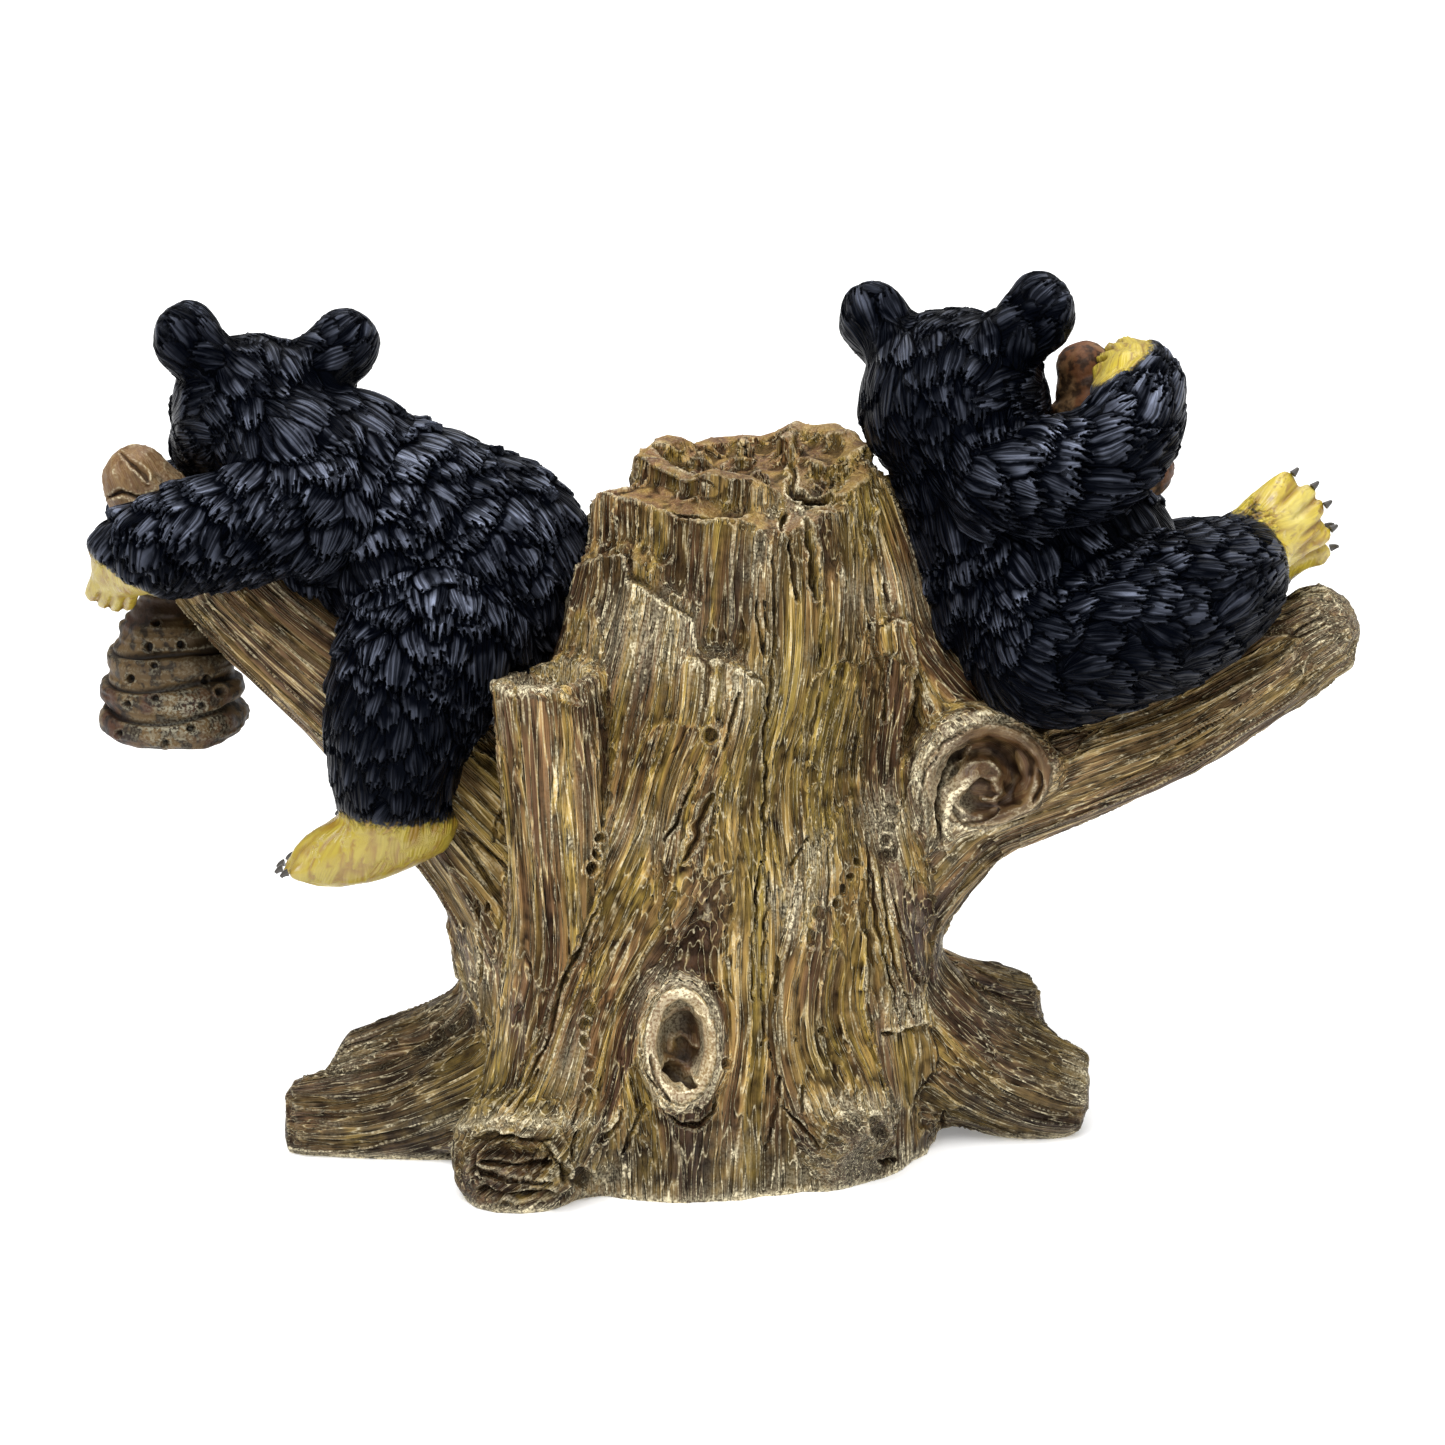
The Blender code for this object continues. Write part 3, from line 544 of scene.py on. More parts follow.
def mouthLine(places, centre, ahead, side, up, size):
    # a groove down from the nose that parts into the two sides of the mouth
    offset = places - centre
    s, u, a = offset @ side / size, offset @ up / size, offset @ ahead / size
    front = step(-0.1, 0.15, a) * step(0.75, 0.6, np.sqrt(s ** 2 + u ** 2 + a ** 2))
    smile = -0.2 + 0.5 * s ** 2
    line = bell(u - smile, 0.026) * step(0.34, 0.26, np.abs(s))
    philtrum = bell(s, 0.024) * step(-0.22, -0.19, u) * step(0.2, 0.1, u)
    return 0.75 * front * np.maximum(line, philtrum)


def dressCub(nodeName, cub, look, material):
    piece = addObject(nodeName + "_fur", bareCopy(nodeName))
    roundFacets(piece)
    fineSkin(piece, look["cell"], 3)
    mesh = piece.data
    places, normals = readPlaces(mesh), readNormals(mesh)
    edges = readEdges(mesh)
    count = len(places)
    seat = np.array(cub["seat"], np.float32)
    middle = np.array(cub["head"], np.float32) + seat
    ahead, side, up = headAxes(cub)
    size = cub["headSize"]

    ways = onSurface(furWays(places, cub), normals)
    ways = turned(ways, normals, look["wave"] * (lattice(places, 13.0, 5) + 0.5 * lattice(places, 5.0, 6)))
    yellow = pawMask(places, cub)
    muzzlePlace = middle + ahead * size * 1.12 - up * size * 0.2
    offset = places - muzzlePlace
    radii = ((side, 7.8), (up, 6.6), (ahead, 9.5))  # of the muzzle, in mm
    muzzle = step(1.0, 0.62, np.sqrt(sum(((offset @ way) / radius) ** 2 for way, radius in radii)))
    fromNose = places - middle - ahead * size * 1.5
    nose = step(1.15, 0.95, np.linalg.norm(fromNose, axis=1) / (size * 0.19))
    onHead = step(1.3, 1.05, np.linalg.norm(places - middle, axis=1) / size)
    onEar = np.zeros(count, np.float32)
    cup = np.zeros(count, np.float32)
    for ear in cub["ears"]:
        centre = np.array(ear, np.float32) + seat
        offset = places - centre
        onEar = np.maximum(onEar, step(1.4, 1.1, np.linalg.norm(offset, axis=1) / cub["earRadius"]))
        inner = step(0.82, 0.45, np.linalg.norm(offset, axis=1) / cub["earRadius"])
        cup = np.maximum(cup, inner * step(0.3, 0.8, normals @ ahead))
    shaggy = step(-0.4, 0.7, cub["shaggy"](places - seat)) * (1 - 0.8 * onHead) * (1 - onEar)
    # the locks are lower on the head and the ears, and lie nearly flat on the muzzle and the paws
    strength = (1 - 0.3 * onHead) * (1 - 0.55 * onEar) * (1 - 0.85 * yellow) * (1 - 0.85 * muzzle)
    strength = strength * (1 - nose)

    seeds = scatterSeeds(places, look["lockSpacing"], look["seed"])
    drawn = drawLocks(places, normals, ways, seeds, look, shaggy)
    relief, owner = layLocks(places, normals, drawn, look, strength.astype(np.float32))
    print("locks laid on", nodeName, len(seeds))
    seedTree = KDTree(len(seeds))
    for number, root in enumerate(drawn["root"]):
        seedTree.insert(root, number)
    seedTree.balance()
    for index in np.nonzero(owner < 0)[0]:
        owner[index] = seedTree.find(places[index])[1]
    t, across = lockSpots(places, drawn, owner)
    hair = hairNoise(t, across, drawn, owner, look["hairWidth"], 11)
    groove = 1 - bell(hair, 0.2)
    relief = 0.6 * relief + 0.4 * neighbourMean(relief, edges, count)
    hairDepth = look["hairDepth"] * (1 - 0.8 * muzzle) * (1 - 0.75 * yellow) * (1 - nose)
    hairDepth = hairDepth * (0.7 + 0.3 * shaggy)
    mouth = mouthLine(places, muzzlePlace, ahead, side, up, size)
    toes = toeGrooves(places, cub)
    moved = relief - 0.3 * look["lockRise"][0] + hairDepth * (groove - 0.6) - mouth - 0.9 * toes - 1.1 * cup
    writePlaces(mesh, places + normals * moved[:, None])
    # painted highlight: fur facing up gets more of it, as light falls from above, so the limbs and all that
    # hangs stay duller
    brushed = 0.3 + 0.7 * step(-0.15, 0.75, normals[:, 2] + 0.12 * lattice(places, 9.0, 31))
    values = {
        "yellow": yellow, "muzzle": muzzle, "nose": nose, "toes": toes, "cup": cup,
        "height": relief / look["lockRise"][1], "brushed": brushed,
    }
    nearest = thinned(piece, look["triangles"], values)
    mesh = piece.data
    owner = owner[nearest]
    t, across = lockSpots(readPlaces(mesh), drawn, owner)
    hair = hairNoise(t, across, drawn, owner, look["hairWidth"], 11)
    storeValues(mesh, "groove", bell(hair, 0.22))
    storeValues(mesh, "hair", np.stack((across, t * drawn["length"][owner] / 18, owner * 5.3), 1))
    edge, hollow = convexity(mesh, (4, 24))
    storeValues(mesh, "edge", edge)
    storeValues(mesh, "hollow", hollow)
    finishPiece(piece, material, nodeName)
    print("fur done on", nodeName, len(mesh.polygons), "triangles")
    return piece


climber = {
    "seat": (-60.0, 0.0, 81.0),
    "head": (-26, 4, 59.5),
    "facing": (-0.4, 0.88, -0.22),
    "headSize": 15.6,
    "ears": [(-37, -1, 74.5), (-9.5, 9, 71.3)],
    "earRadius": 6.9,
    # centre, way of the toes, way of their row, size and whether its claws show
    "paws": [
        ((-50.3, -10, 31.5), (-0.3, 0.3, -0.85), (1, 0, 0), 6.2, 0),
        ((-50.3, 14, 31.5), (-0.3, -0.3, -0.85), (1, 0, 0), 6.2, 0),
        ((-12.5, -16, -19.4), (-0.95, 0, -0.25), (0, 1, 0), 7.8, 1),
        ((-4.5, 20, -19.4), (-0.95, 0, -0.25), (0, 1, 0), 7.8, 1),
    ],
    "fall": 0.9,  # how far the hair hangs down from the limbs' own way
    # places combed their own way: centre, reach and way
    "combed": [
        ((-8, -16, -15), 19, (-0.25, 0, -1)), ((0, 20, -15), 19, (-0.25, 0, -1)),
        ((-36, -13, 40), 16, (-0.5, 0, -1)), ((-50, -10, 33), 10, (-0.3, 0, -1)),
    ],
}
climberArm = [
    (-12, -8, 46, 11.5), (-22, -11, 44.5, 10.8), (-31, -13, 41.8, 9.6), (-41.5, -13.5, 38.6, 8.6),
    (-48, -11, 36, 7.2), (-51, -10, 29, 6.2),
]
climberLeg = [
    (9, -8, 22, 17), (3, -13, 12, 15.2), (0, -15, 0, 12.8), (-0.5, -15, -8, 10.6), (-1, -15, -14, 8),
]
climberFoot = [(5, -15, -13, 6.8), (-5, -16, -16.6, 7.4), (-18, -16.5, -19.4, 6.0)]
climber["limbs"] = [
    [(-30, 3, 66, 13), (-19, 3, 55, 15), (-4, 2, 46, 19), (10, 2, 36, 20.5), (22, 2, 20, 20)],
    climberArm, mirrored(climberArm, 2), climberLeg, mirrored(climberLeg, 2, 4),
    climberFoot, mirrored(climberFoot, 2, 8),
]
climber["yellow"] = [
    ((-48.5, -12, 34.4), (-0.52, 0, -0.86), 12.0, 1.6), ((-48.5, 16, 34.4), (-0.52, 0, -0.86), 12.0, 1.6),
    ((-5, -16, -10.6), (-0.08, 0, -1), 24.0, 2.8), ((3, 20, -10.6), (-0.08, 0, -1), 24.0, 2.8),
]
# shaggiest on the back and the hump
climber["shaggy"] = lambda p: (p[:, 2] - 24) / 24 - np.abs(p[:, 1] - 2) / 70 + (p[:, 0] + 34) / 60

sitter = {
    "seat": (62.0, 0.0, 72.0),
    "head": (-19.6, 2, 71.2),
    "facing": (0.6, 0.8, -0.08),
    "headSize": 18.0,
    "ears": [(-34.0, 9, 84.7), (-4.8, -5, 89.2)],
    "earRadius": 7.5,
    "paws": [
        ((39, -3, 48.6), (0.75, 0.25, 0.5), (0.55, -0.1, -0.78), 9.4, 1),
        ((40, 5, 43.6), (0.75, -0.25, 0.5), (0.55, 0.1, -0.78), 9.4, 1),
        ((11, -3, 80), (-0.5, 0.8, -0.05), (0.6, 0.5, 0.6), 5.6, 0),
        ((16, 19, 68), (0.1, -0.8, 0.5), (0.8, 0, 0.6), 5.8, 0),
    ],
    "fall": 0.3,
    "combed": [((-12, -10, 30), 20, (0.5, 0, -0.8)), ((4, -14, 58), 12, (0.9, 0, -0.3))],
}
sitterArm = [
    (-12, -9, 60, 11.5), (-3, -13, 61.5, 10.3), (5.5, -14.5, 64, 9.2), (11.8, -12.5, 70, 8.4),
    (12.4, -8, 76.5, 7.0), (11, -3, 82, 5.6),
]
sitterFarArm = [(-9, 16, 54, 11), (4, 24, 56, 9.5), (14, 27, 60, 8.5), (16, 22, 66, 7), (16.5, 17, 70, 5.8)]
sitterLeg = [
    (-8, -9, 25, 18), (8, -12, 31, 15.5), (23, -13, 37.5, 13.6), (30.5, -10, 41.5, 11.2), (42, -2, 50, 8),
]
sitter["limbs"] = [
    [(-22, 2, 66, 15), (-14, 2, 53, 18), (-6, 1, 38, 21), (-2, 1, 22, 21), (6, 1, 6, 18)],
    sitterArm, sitterFarArm, sitterLeg, [(p[0] + 1, 2 - p[1], p[2] - 5, p[3]) for p in sitterLeg],
]
sitter["yellow"] = [
    ((38.5, -3, 48.3), (0.75, 0.25, 0.5), 13.0, 2.0), ((39.5, 5, 43.3), (0.75, -0.25, 0.5), 13.0, 2.0),
    ((11.4, -8, 80.6), (-0.56, 0, 0.83), 8.0, 1.4), ((16, 19, 68), (0.1, -0.8, 0.5), 8.0, 2.2),
]
sitter["shaggy"] = lambda p: (p[:, 2] - 38) / 40 - np.abs(p[:, 1]) / 70 - p[:, 0] / 80

# What a user would change on the cubs' fur. A pair is for sleek fur and for shaggy fur.
furLook = {
    "cell": 0.3,  # of the skin that the hair is cut into
    "lockLength": (11.0, 15.0),
    "lockWidth": (6.0, 10.0),
    "lockRise": (1.0, 3.0),
    "lockSpacing": 4.7,
    "lockTurn": 0.5,  # how far neighbouring locks point apart, radians
    "hairWidth": 1.15,  # noise cell of the thick strands
    "singleHair": 0.48,  # noise cell of the painted hairs
    "hairDepth": 0.14,
    "wave": 0.45,
    "triangles": 236000,
    "seed": 21,
    "black": "#010206",
    # painted highlight along the raised hair, partly grey dry brush
    "sheenAndDryBrush": "#767c8e",
    "yellow": "#c6b03a",
    "ochre": "#8f6f22",
    "cream": "#dccf78",
    "tan": "#7a5230",
}


def furPaint(name, look):
    # Semi-gloss blue-black enamel over cast fur, with yellow sprayed paws: deep black in the
    # hair grooves and under the locks, a broken blue-grey painted highlight, partly grey dry brush, along the
    # raised hair.
    material, tree, shader = newPaint(name)
    read = {
        label: addNode(tree, "ShaderNodeAttribute", {"attribute_name": label}).outputs["Fac"]
        for label in (
            "yellow", "muzzle", "nose", "toes", "cup", "height", "brushed", "groove", "edge", "hollow",
        )
    }
    here = addNode(tree, "ShaderNodeTexCoord").outputs["Object"]
    hair = addNode(tree, "ShaderNodeAttribute", {"attribute_name": "hair"}).outputs["Vector"]
    # single hairs along each lock, patches of thicker and thinner enamel, and the grain of the spray
    fine, patches, speckle = (
        addNode(tree, "ShaderNodeTexNoise", None, {"Vector": spot, "Scale": scale, "Detail": detail})
        for spot, scale, detail in (
            (hair, 1 / look["singleHair"], 0.0), (here, perMm(9), 3.0), (here, perMm(0.7), 4.0),
        )
    )
    grainy = addNode(tree, "ShaderNodeMath", {"operation": "ADD"}, {0: read["yellow"], 1: speckle})
    # each mask goes from its first to its second value while what it reads goes from start to end
    masks = {}
    for label, way, value, start, end, first, second in (
        ("broken", "SMOOTHSTEP", fine, 0.41, 0.57, 0.22, 1.0),
        ("proud", "SMOOTHSTEP", read["edge"], -0.06, 0.2, 0.0, 1.0),
        ("exposed", "SMOOTHSTEP", read["hollow"], -0.8, 0.0, 0.0, 1.0),
        ("cloudy", "LINEAR", patches, 0.35, 0.65, 0.45, 1.0),
        ("raised", "LINEAR", read["height"], 0.0, 0.7, 0.3, 1.0),
        ("streaked", "SMOOTHSTEP", fine, 0.46, 0.36, 0.0, 0.3),
        ("pale", "SMOOTHSTEP", patches, 0.52, 0.75, 0.0, 0.6),
        ("sprayed", "SMOOTHSTEP", grainy, 0.72, 1.2, 0.0, 1.0),
        ("deepness", "LINEAR", read["yellow"], 0.0, 1.0, 1.0, 0.25),
        ("gloss", "LINEAR", patches, 0.0, 1.0, 0.22, 0.44),
    ):
        masks[label] = addNode(tree, "ShaderNodeMapRange", {"interpolation_type": way}, {
            "Value": value, "From Min": start, "From Max": end, "To Min": first, "To Max": second,
        })
    smooth = addNode(tree, "ShaderNodeMath", {"operation": "SUBTRACT"}, {0: 1.0, 1: read["groove"]})
    # the painted highlight, partly grey dry brush, is on raised hair that faces up, out of the hollows and
    # the grooves
    sheenAndDryBrushMask = masks["proud"]
    for factor in (
        smooth, masks["exposed"], masks["broken"], masks["raised"], read["brushed"], masks["cloudy"],
    ):
        sheenAndDryBrushMask = addNode(tree, "ShaderNodeMath", {"operation": "MULTIPLY"}, {0: sheenAndDryBrushMask, 1: factor})
    # on the paws, the ochre in the toe and hair grooves is painted shade
    low = addNode(tree, "ShaderNodeMath", {"operation": "MAXIMUM"}, {0: read["toes"], 1: read["groove"]})
    inside = addNode(tree, "ShaderNodeMath", {"operation": "MAXIMUM"}, {0: low, 1: masks["streaked"]})
    face = addNode(tree, "ShaderNodeMath", {"operation": "MAXIMUM"}, {0: read["muzzle"], 1: read["cup"]})
    paint = {label: toLinear(look[label]) for label in ("black", "sheenAndDryBrush", "yellow", "ochre", "cream", "tan")}
    paw, colour = paint["yellow"], paint["black"]
    for amount, coat in ((inside, paint["ochre"]), (masks["pale"], paint["cream"])):
        paw = addNode(tree, "ShaderNodeMix", {"data_type": "RGBA"}, {"Factor": amount, "A": paw, "B": coat})
    for amount, coat in (
        (sheenAndDryBrushMask, paint["sheenAndDryBrush"]), (face, paint["tan"]), (masks["sprayed"], paw),
        (read["nose"], paint["black"]),
    ):
        colour = addNode(tree, "ShaderNodeMix", {"data_type": "RGBA"}, {
            "Factor": amount, "A": colour, "B": coat,
        })
    combed = addNode(tree, "ShaderNodeBump", None, {
        "Height": fine, "Strength": masks["deepness"], "Distance": 0.75 * mm,
    })
    bump = addNode(tree, "ShaderNodeBump", None, {
        "Height": speckle, "Strength": 0.2, "Distance": 0.1 * mm, "Normal": combed,
    })
    # the enamel is thickest on the raised hair, so only that shines
    bare = addNode(tree, "ShaderNodeMath", {"operation": "MAXIMUM"}, {0: sheenAndDryBrushMask, 1: read["yellow"]})
    sheen = addNode(tree, "ShaderNodeMapRange", None, {"Value": bare, "To Min": 0.03, "To Max": 1.0})
    tree.links.new(colour.outputs["Result"], shader.inputs["Base Color"])
    tree.links.new(masks["gloss"].outputs[0], shader.inputs["Roughness"])
    tree.links.new(sheen.outputs[0], shader.inputs["Specular IOR Level"])
    tree.links.new(bump.outputs["Normal"], shader.inputs["Normal"])
    shader.inputs["Specular Tint"].default_value = toLinear("#c4d0ee")
    shader.inputs["IOR"].default_value = 1.5
    return material


def enamel(name, colour, roughness):
    # Brushed-on enamel in one colour that pools a little darker, with a wet shine.
    material, tree, shader = newPaint(name)
    here = addNode(tree, "ShaderNodeTexCoord").outputs["Object"]
    pooled = addNode(tree, "ShaderNodeTexNoise", None, {"Vector": here, "Scale": perMm(1.2), "Detail": 2.0})
    dark = tuple(0.45 * v for v in toLinear(colour)[:3]) + (1.0,)
    mixed = addNode(tree, "ShaderNodeMix", {"data_type": "RGBA"}, {
        "Factor": pooled, "A": dark, "B": toLinear(colour),
    })
    bump = addNode(tree, "ShaderNodeBump", None, {"Height": pooled, "Strength": 0.2, "Distance": 0.1 * mm})
    tree.links.new(mixed.outputs["Result"], shader.inputs["Base Color"])
    tree.links.new(bump.outputs["Normal"], shader.inputs["Normal"])
    shader.inputs["Roughness"].default_value = roughness
    return material


clawLook = {"length": 1.5, "thickness": 0.75, "hook": 0.5, "colour": "#4d4944"}


def clawNodes(material):
    # a claw is a short bent horn, set on every toe and turned the way the toe points
    tree, given, keys = growNodes("claws", {"Length": "Float", "Thickness": "Float", "Hook": "Float"})
    down = addNode(tree, "ShaderNodeMath", {"operation": "MULTIPLY"}, {0: given["Hook"], 1: -1.0})
    halfWay = addNode(tree, "ShaderNodeMath", {"operation": "MULTIPLY"}, {0: given["Length"], 1: 0.62})
    middle = addNode(tree, "ShaderNodeCombineXYZ", None, {"Z": halfWay})
    tip = addNode(tree, "ShaderNodeCombineXYZ", None, {"X": down, "Z": given["Length"]})
    bent = addNode(tree, "GeometryNodeCurveQuadraticBezier", None, {
        "Resolution": 7, "Start": (0, 0, 0), "Middle": middle, "End": tip,
    })
    along = addNode(tree, "GeometryNodeSplineParameter")
    taper = addNode(tree, "ShaderNodeMapRange", None, {"Value": along, "To Min": 1.0, "To Max": 0.45})
    shaped = addNode(tree, "GeometryNodeSetCurveRadius", None, {"Curve": bent, "Radius": taper})
    ring = addNode(tree, "GeometryNodeCurvePrimitiveCircle", {"mode": "RADIUS"}, {
        "Resolution": 10, "Radius": given["Thickness"],
    })
    horn = addNode(tree, "GeometryNodeCurveToMesh", None, {
        "Curve": shaped, "Profile Curve": ring, "Fill Caps": True,
    })
    if "Scale" in horn.inputs:
        tree.links.new(taper.outputs[0], horn.inputs["Scale"])
    toe, top = (
        addNode(tree, "GeometryNodeInputNamedAttribute", {"data_type": "FLOAT_VECTOR"}, {"Name": name})
        for name in ("toe", "top")
    )
    aimed = addNode(tree, "FunctionNodeAlignRotationToVector", {"axis": "Z"}, {"Vector": toe})
    rolled = addNode(tree, "FunctionNodeAlignRotationToVector", {"axis": "X", "pivot_axis": "Z"}, {
        "Rotation": aimed, "Vector": top,
    })
    placed = addNode(tree, "GeometryNodeInstanceOnPoints", None, {
        "Points": given["Geometry"], "Instance": horn, "Rotation": rolled,
    })
    smooth = addNode(tree, "GeometryNodeSetShadeSmooth", None, {"Geometry": placed})
    endNodes(tree, smooth, material)
    return tree, keys


def addClaws(name, cub, nodes, look, material):
    seat = np.array(cub["seat"], np.float32)
    spots, toes, tops = [], [], []
    for paw in cub["paws"]:
        if not paw[4]:
            continue
        centre, ahead, row, size = pawFrame(paw)
        top = np.cross(row, ahead)
        if top[2] < 0:
            top = -top
        for i in range(4):
            share = (i - 1.5) / 1.5
            tip = seat + centre + row * share * size * 0.66 + ahead * size * (1.1 - 0.2 * share * share)
            spots.append((tip + top * size * 0.08 + drawingOrigin) * mm)
            toes.append(ahead + row * share * 0.15)
            tops.append(top)
    mesh = bpy.data.meshes.new(name)
    mesh.from_pydata([tuple(map(float, spot)) for spot in spots], [], [])
    storeValues(mesh, "toe", np.array(toes))
    storeValues(mesh, "top", np.array(tops))
    piece = addObject(name, mesh)
    tree, keys = nodes
    runNodes(piece, tree, keys, {
        "Length": look["length"] * mm, "Thickness": look["thickness"] * mm, "Hook": look["hook"] * mm,
    })
    finishPiece(piece, material)
    print(name, len(piece.data.polygons), "faces")


eyeLook = {"size": 1.55, "apart": 0.4, "up": 0.2, "colour": "#0a0806"}


def addEyes(name, cub, fur, look, material):
    # two glossy beads sunk in the face, found by a line from the head's middle out through the fur
    seat = np.array(cub["seat"], np.float32)
    middle = Vector((np.array(cub["head"], np.float32) + seat + drawingOrigin) * mm)
    ahead, side, up = (Vector(v) for v in headAxes(cub))
    form = bmesh.new()
    for hand in (-1, 1):
        way = (ahead + side * hand * look["apart"] + up * look["up"]).normalized()
        start = middle + way * 3 * cub["headSize"] * mm
        found, place, _, _ = fur.ray_cast(start, -way)
        if not found:
            print("no face found for", name)
            continue
        bead = bmesh.ops.create_uvsphere(form, u_segments=24, v_segments=16, radius=look["size"] * mm)
        bmesh.ops.translate(form, verts=bead["verts"], vec=place - way * look["size"] * 0.35 * mm)
    mesh = bpy.data.meshes.new(name)
    form.to_mesh(mesh)
    form.free()
    mesh.shade_smooth()
    finishPiece(addObject(name, mesh), material)


clawPaint = enamel("darkHornEnamel", clawLook["colour"], 0.3)
clawTree = clawNodes(clawPaint)
eyePaint = enamel("wetBlackEnamel", eyeLook["colour"], 0.06)
climberLook = dict(furLook, yellow="#a8952f", cream="#bdac55")
for name, cub, look, paintName in (
    ("climbing_bear", climber, climberLook, "blueBlackEnamelClimbing"),
    ("sitting_bear", sitter, furLook, "blueBlackEnamelSitting"),
):
    print("fur on the", name)
    fur = dressCub(name, cub, look, furPaint(paintName, look))
    addClaws(name + "_claws", cub, clawTree, clawLook, clawPaint)
    addEyes(name + "_eyes", cub, fur, eyeLook, eyePaint)

stumpLook = {
    "cell": 0.42,
    "triangles": 235000,
    "slabWidth": 7.0,  # noise cell of the plates that the wood has split into
    "grainWidth": 2.5,  # of the raised grain
    "slabDepth": 0.4,
    "grainDepth": 0.8,
    "crackDepth": 1.3,
    "tornDepth": 0.3,
    "wander": 1.7,  # how far the grain strays from the limb's line
    "bandWidth": 5.5,  # of the painted bands of brown and tan
    "lineWidth": 0.84,  # of the painted raised lines
    "fibreWidth": 0.45,
    "reedWidth": 1.9,
    "tan": "#c79f5a",
    "ochre": "#bc9c45",
    "brown": "#936b3f",
    "umber": "#55351b",
    "moss": "#b0983c",
    "weathered": "#86694a",
    "soil": "#20140b",  # darker colour low down, outwards on the limbs, in the umber patches and in the knots
    # the wash also stands in for painted shade in the hollows and cracks
    "washAndShade": "#1a0f07",
    "dust": "#e9dcb8",
    "straw": "#d9bd7c",
    "heart": "#6d4829",
}
# runs that the grain follows, the trunk's first: x, y, z and radius
stumpLimbs = [
    [(-5, 0, -6, 38), (-4.5, 0, 43, 37), (-1, 0, 80, 30), (1.5, 0, 100, 28), (3, 0, 140, 25)],
    [(-16, 0, 26, 23), (-42, 0, 60.5, 16), (-64.2, 0, 86, 13.5), (-81.4, 0, 101.6, 11.7),
     (-95, 0, 115, 10), (-107, 0, 133, 8.8)],
    [(14, 0, 38, 22), (40, 0, 67.8, 16.6), (60, 0, 75.4, 13.4), (83, 0.5, 83.8, 11.8),
     (114, 1.5, 101.5, 10.2)],
    [(38, 0, 85, 13.6), (30, 0, 99, 12.6), (26.5, 0, 113, 11.0), (23, 0, 127, 9.0)],
    [(-75, 6, 9, 9.4), (-61, 5, 13, 11), (-47, 4, 18.5, 12.4), (-24, 2, 40, 17)],
    [(-86, 0, 3, 9.6), (-60, -2, 6, 11.5), (-36, -4, 20, 15)],
    [(-45, -36, 5, 11), (-33, -29, 16, 12), (-23, -27, 34, 11), (-13, -27, 58, 10), (-7, -26, 82, 9)],
    [(26, -28, 7, 10), (19, -20, 15, 12), (14, -20, 34, 12), (20, -20, 60, 9), (22, -20, 92, 8)],
    [(36, -14, 22, 9), (33, -15, 42, 8), (31, -15, 62, 7), (30, -14, 92, 7)],
    [(70, 8, 5, 10), (57, 6, 9, 11.5), (42, 3, 18, 14), (24, 0, 42, 18)],
    [(62, 20, 16, 10.5), (47, 16, 19, 12), (28, 10, 32, 15)],
    [(-37, 38, 4, 9), (-26, 26, 11, 12), (-14, 16, 32, 15)],
    [(26, 41, 4, 9), (19, 27, 10, 12), (12, 16, 32, 15)],
    [(-38, -28, 12, 10), (-29, -21.5, 42, 10.5), (-29.5, -22.5, 66, 9.6), (-32, -22, 104, 9.8)],
]
# centre, way they face, half width and half height
stumpKnots = [
    ((-7.6, -31, 30.8), (0, -1, 0.15), 6.6, 10.8),
    ((48.3, -15.5, 77.2), (0.12, -1, 0.05), 11.8, 9.6),
]
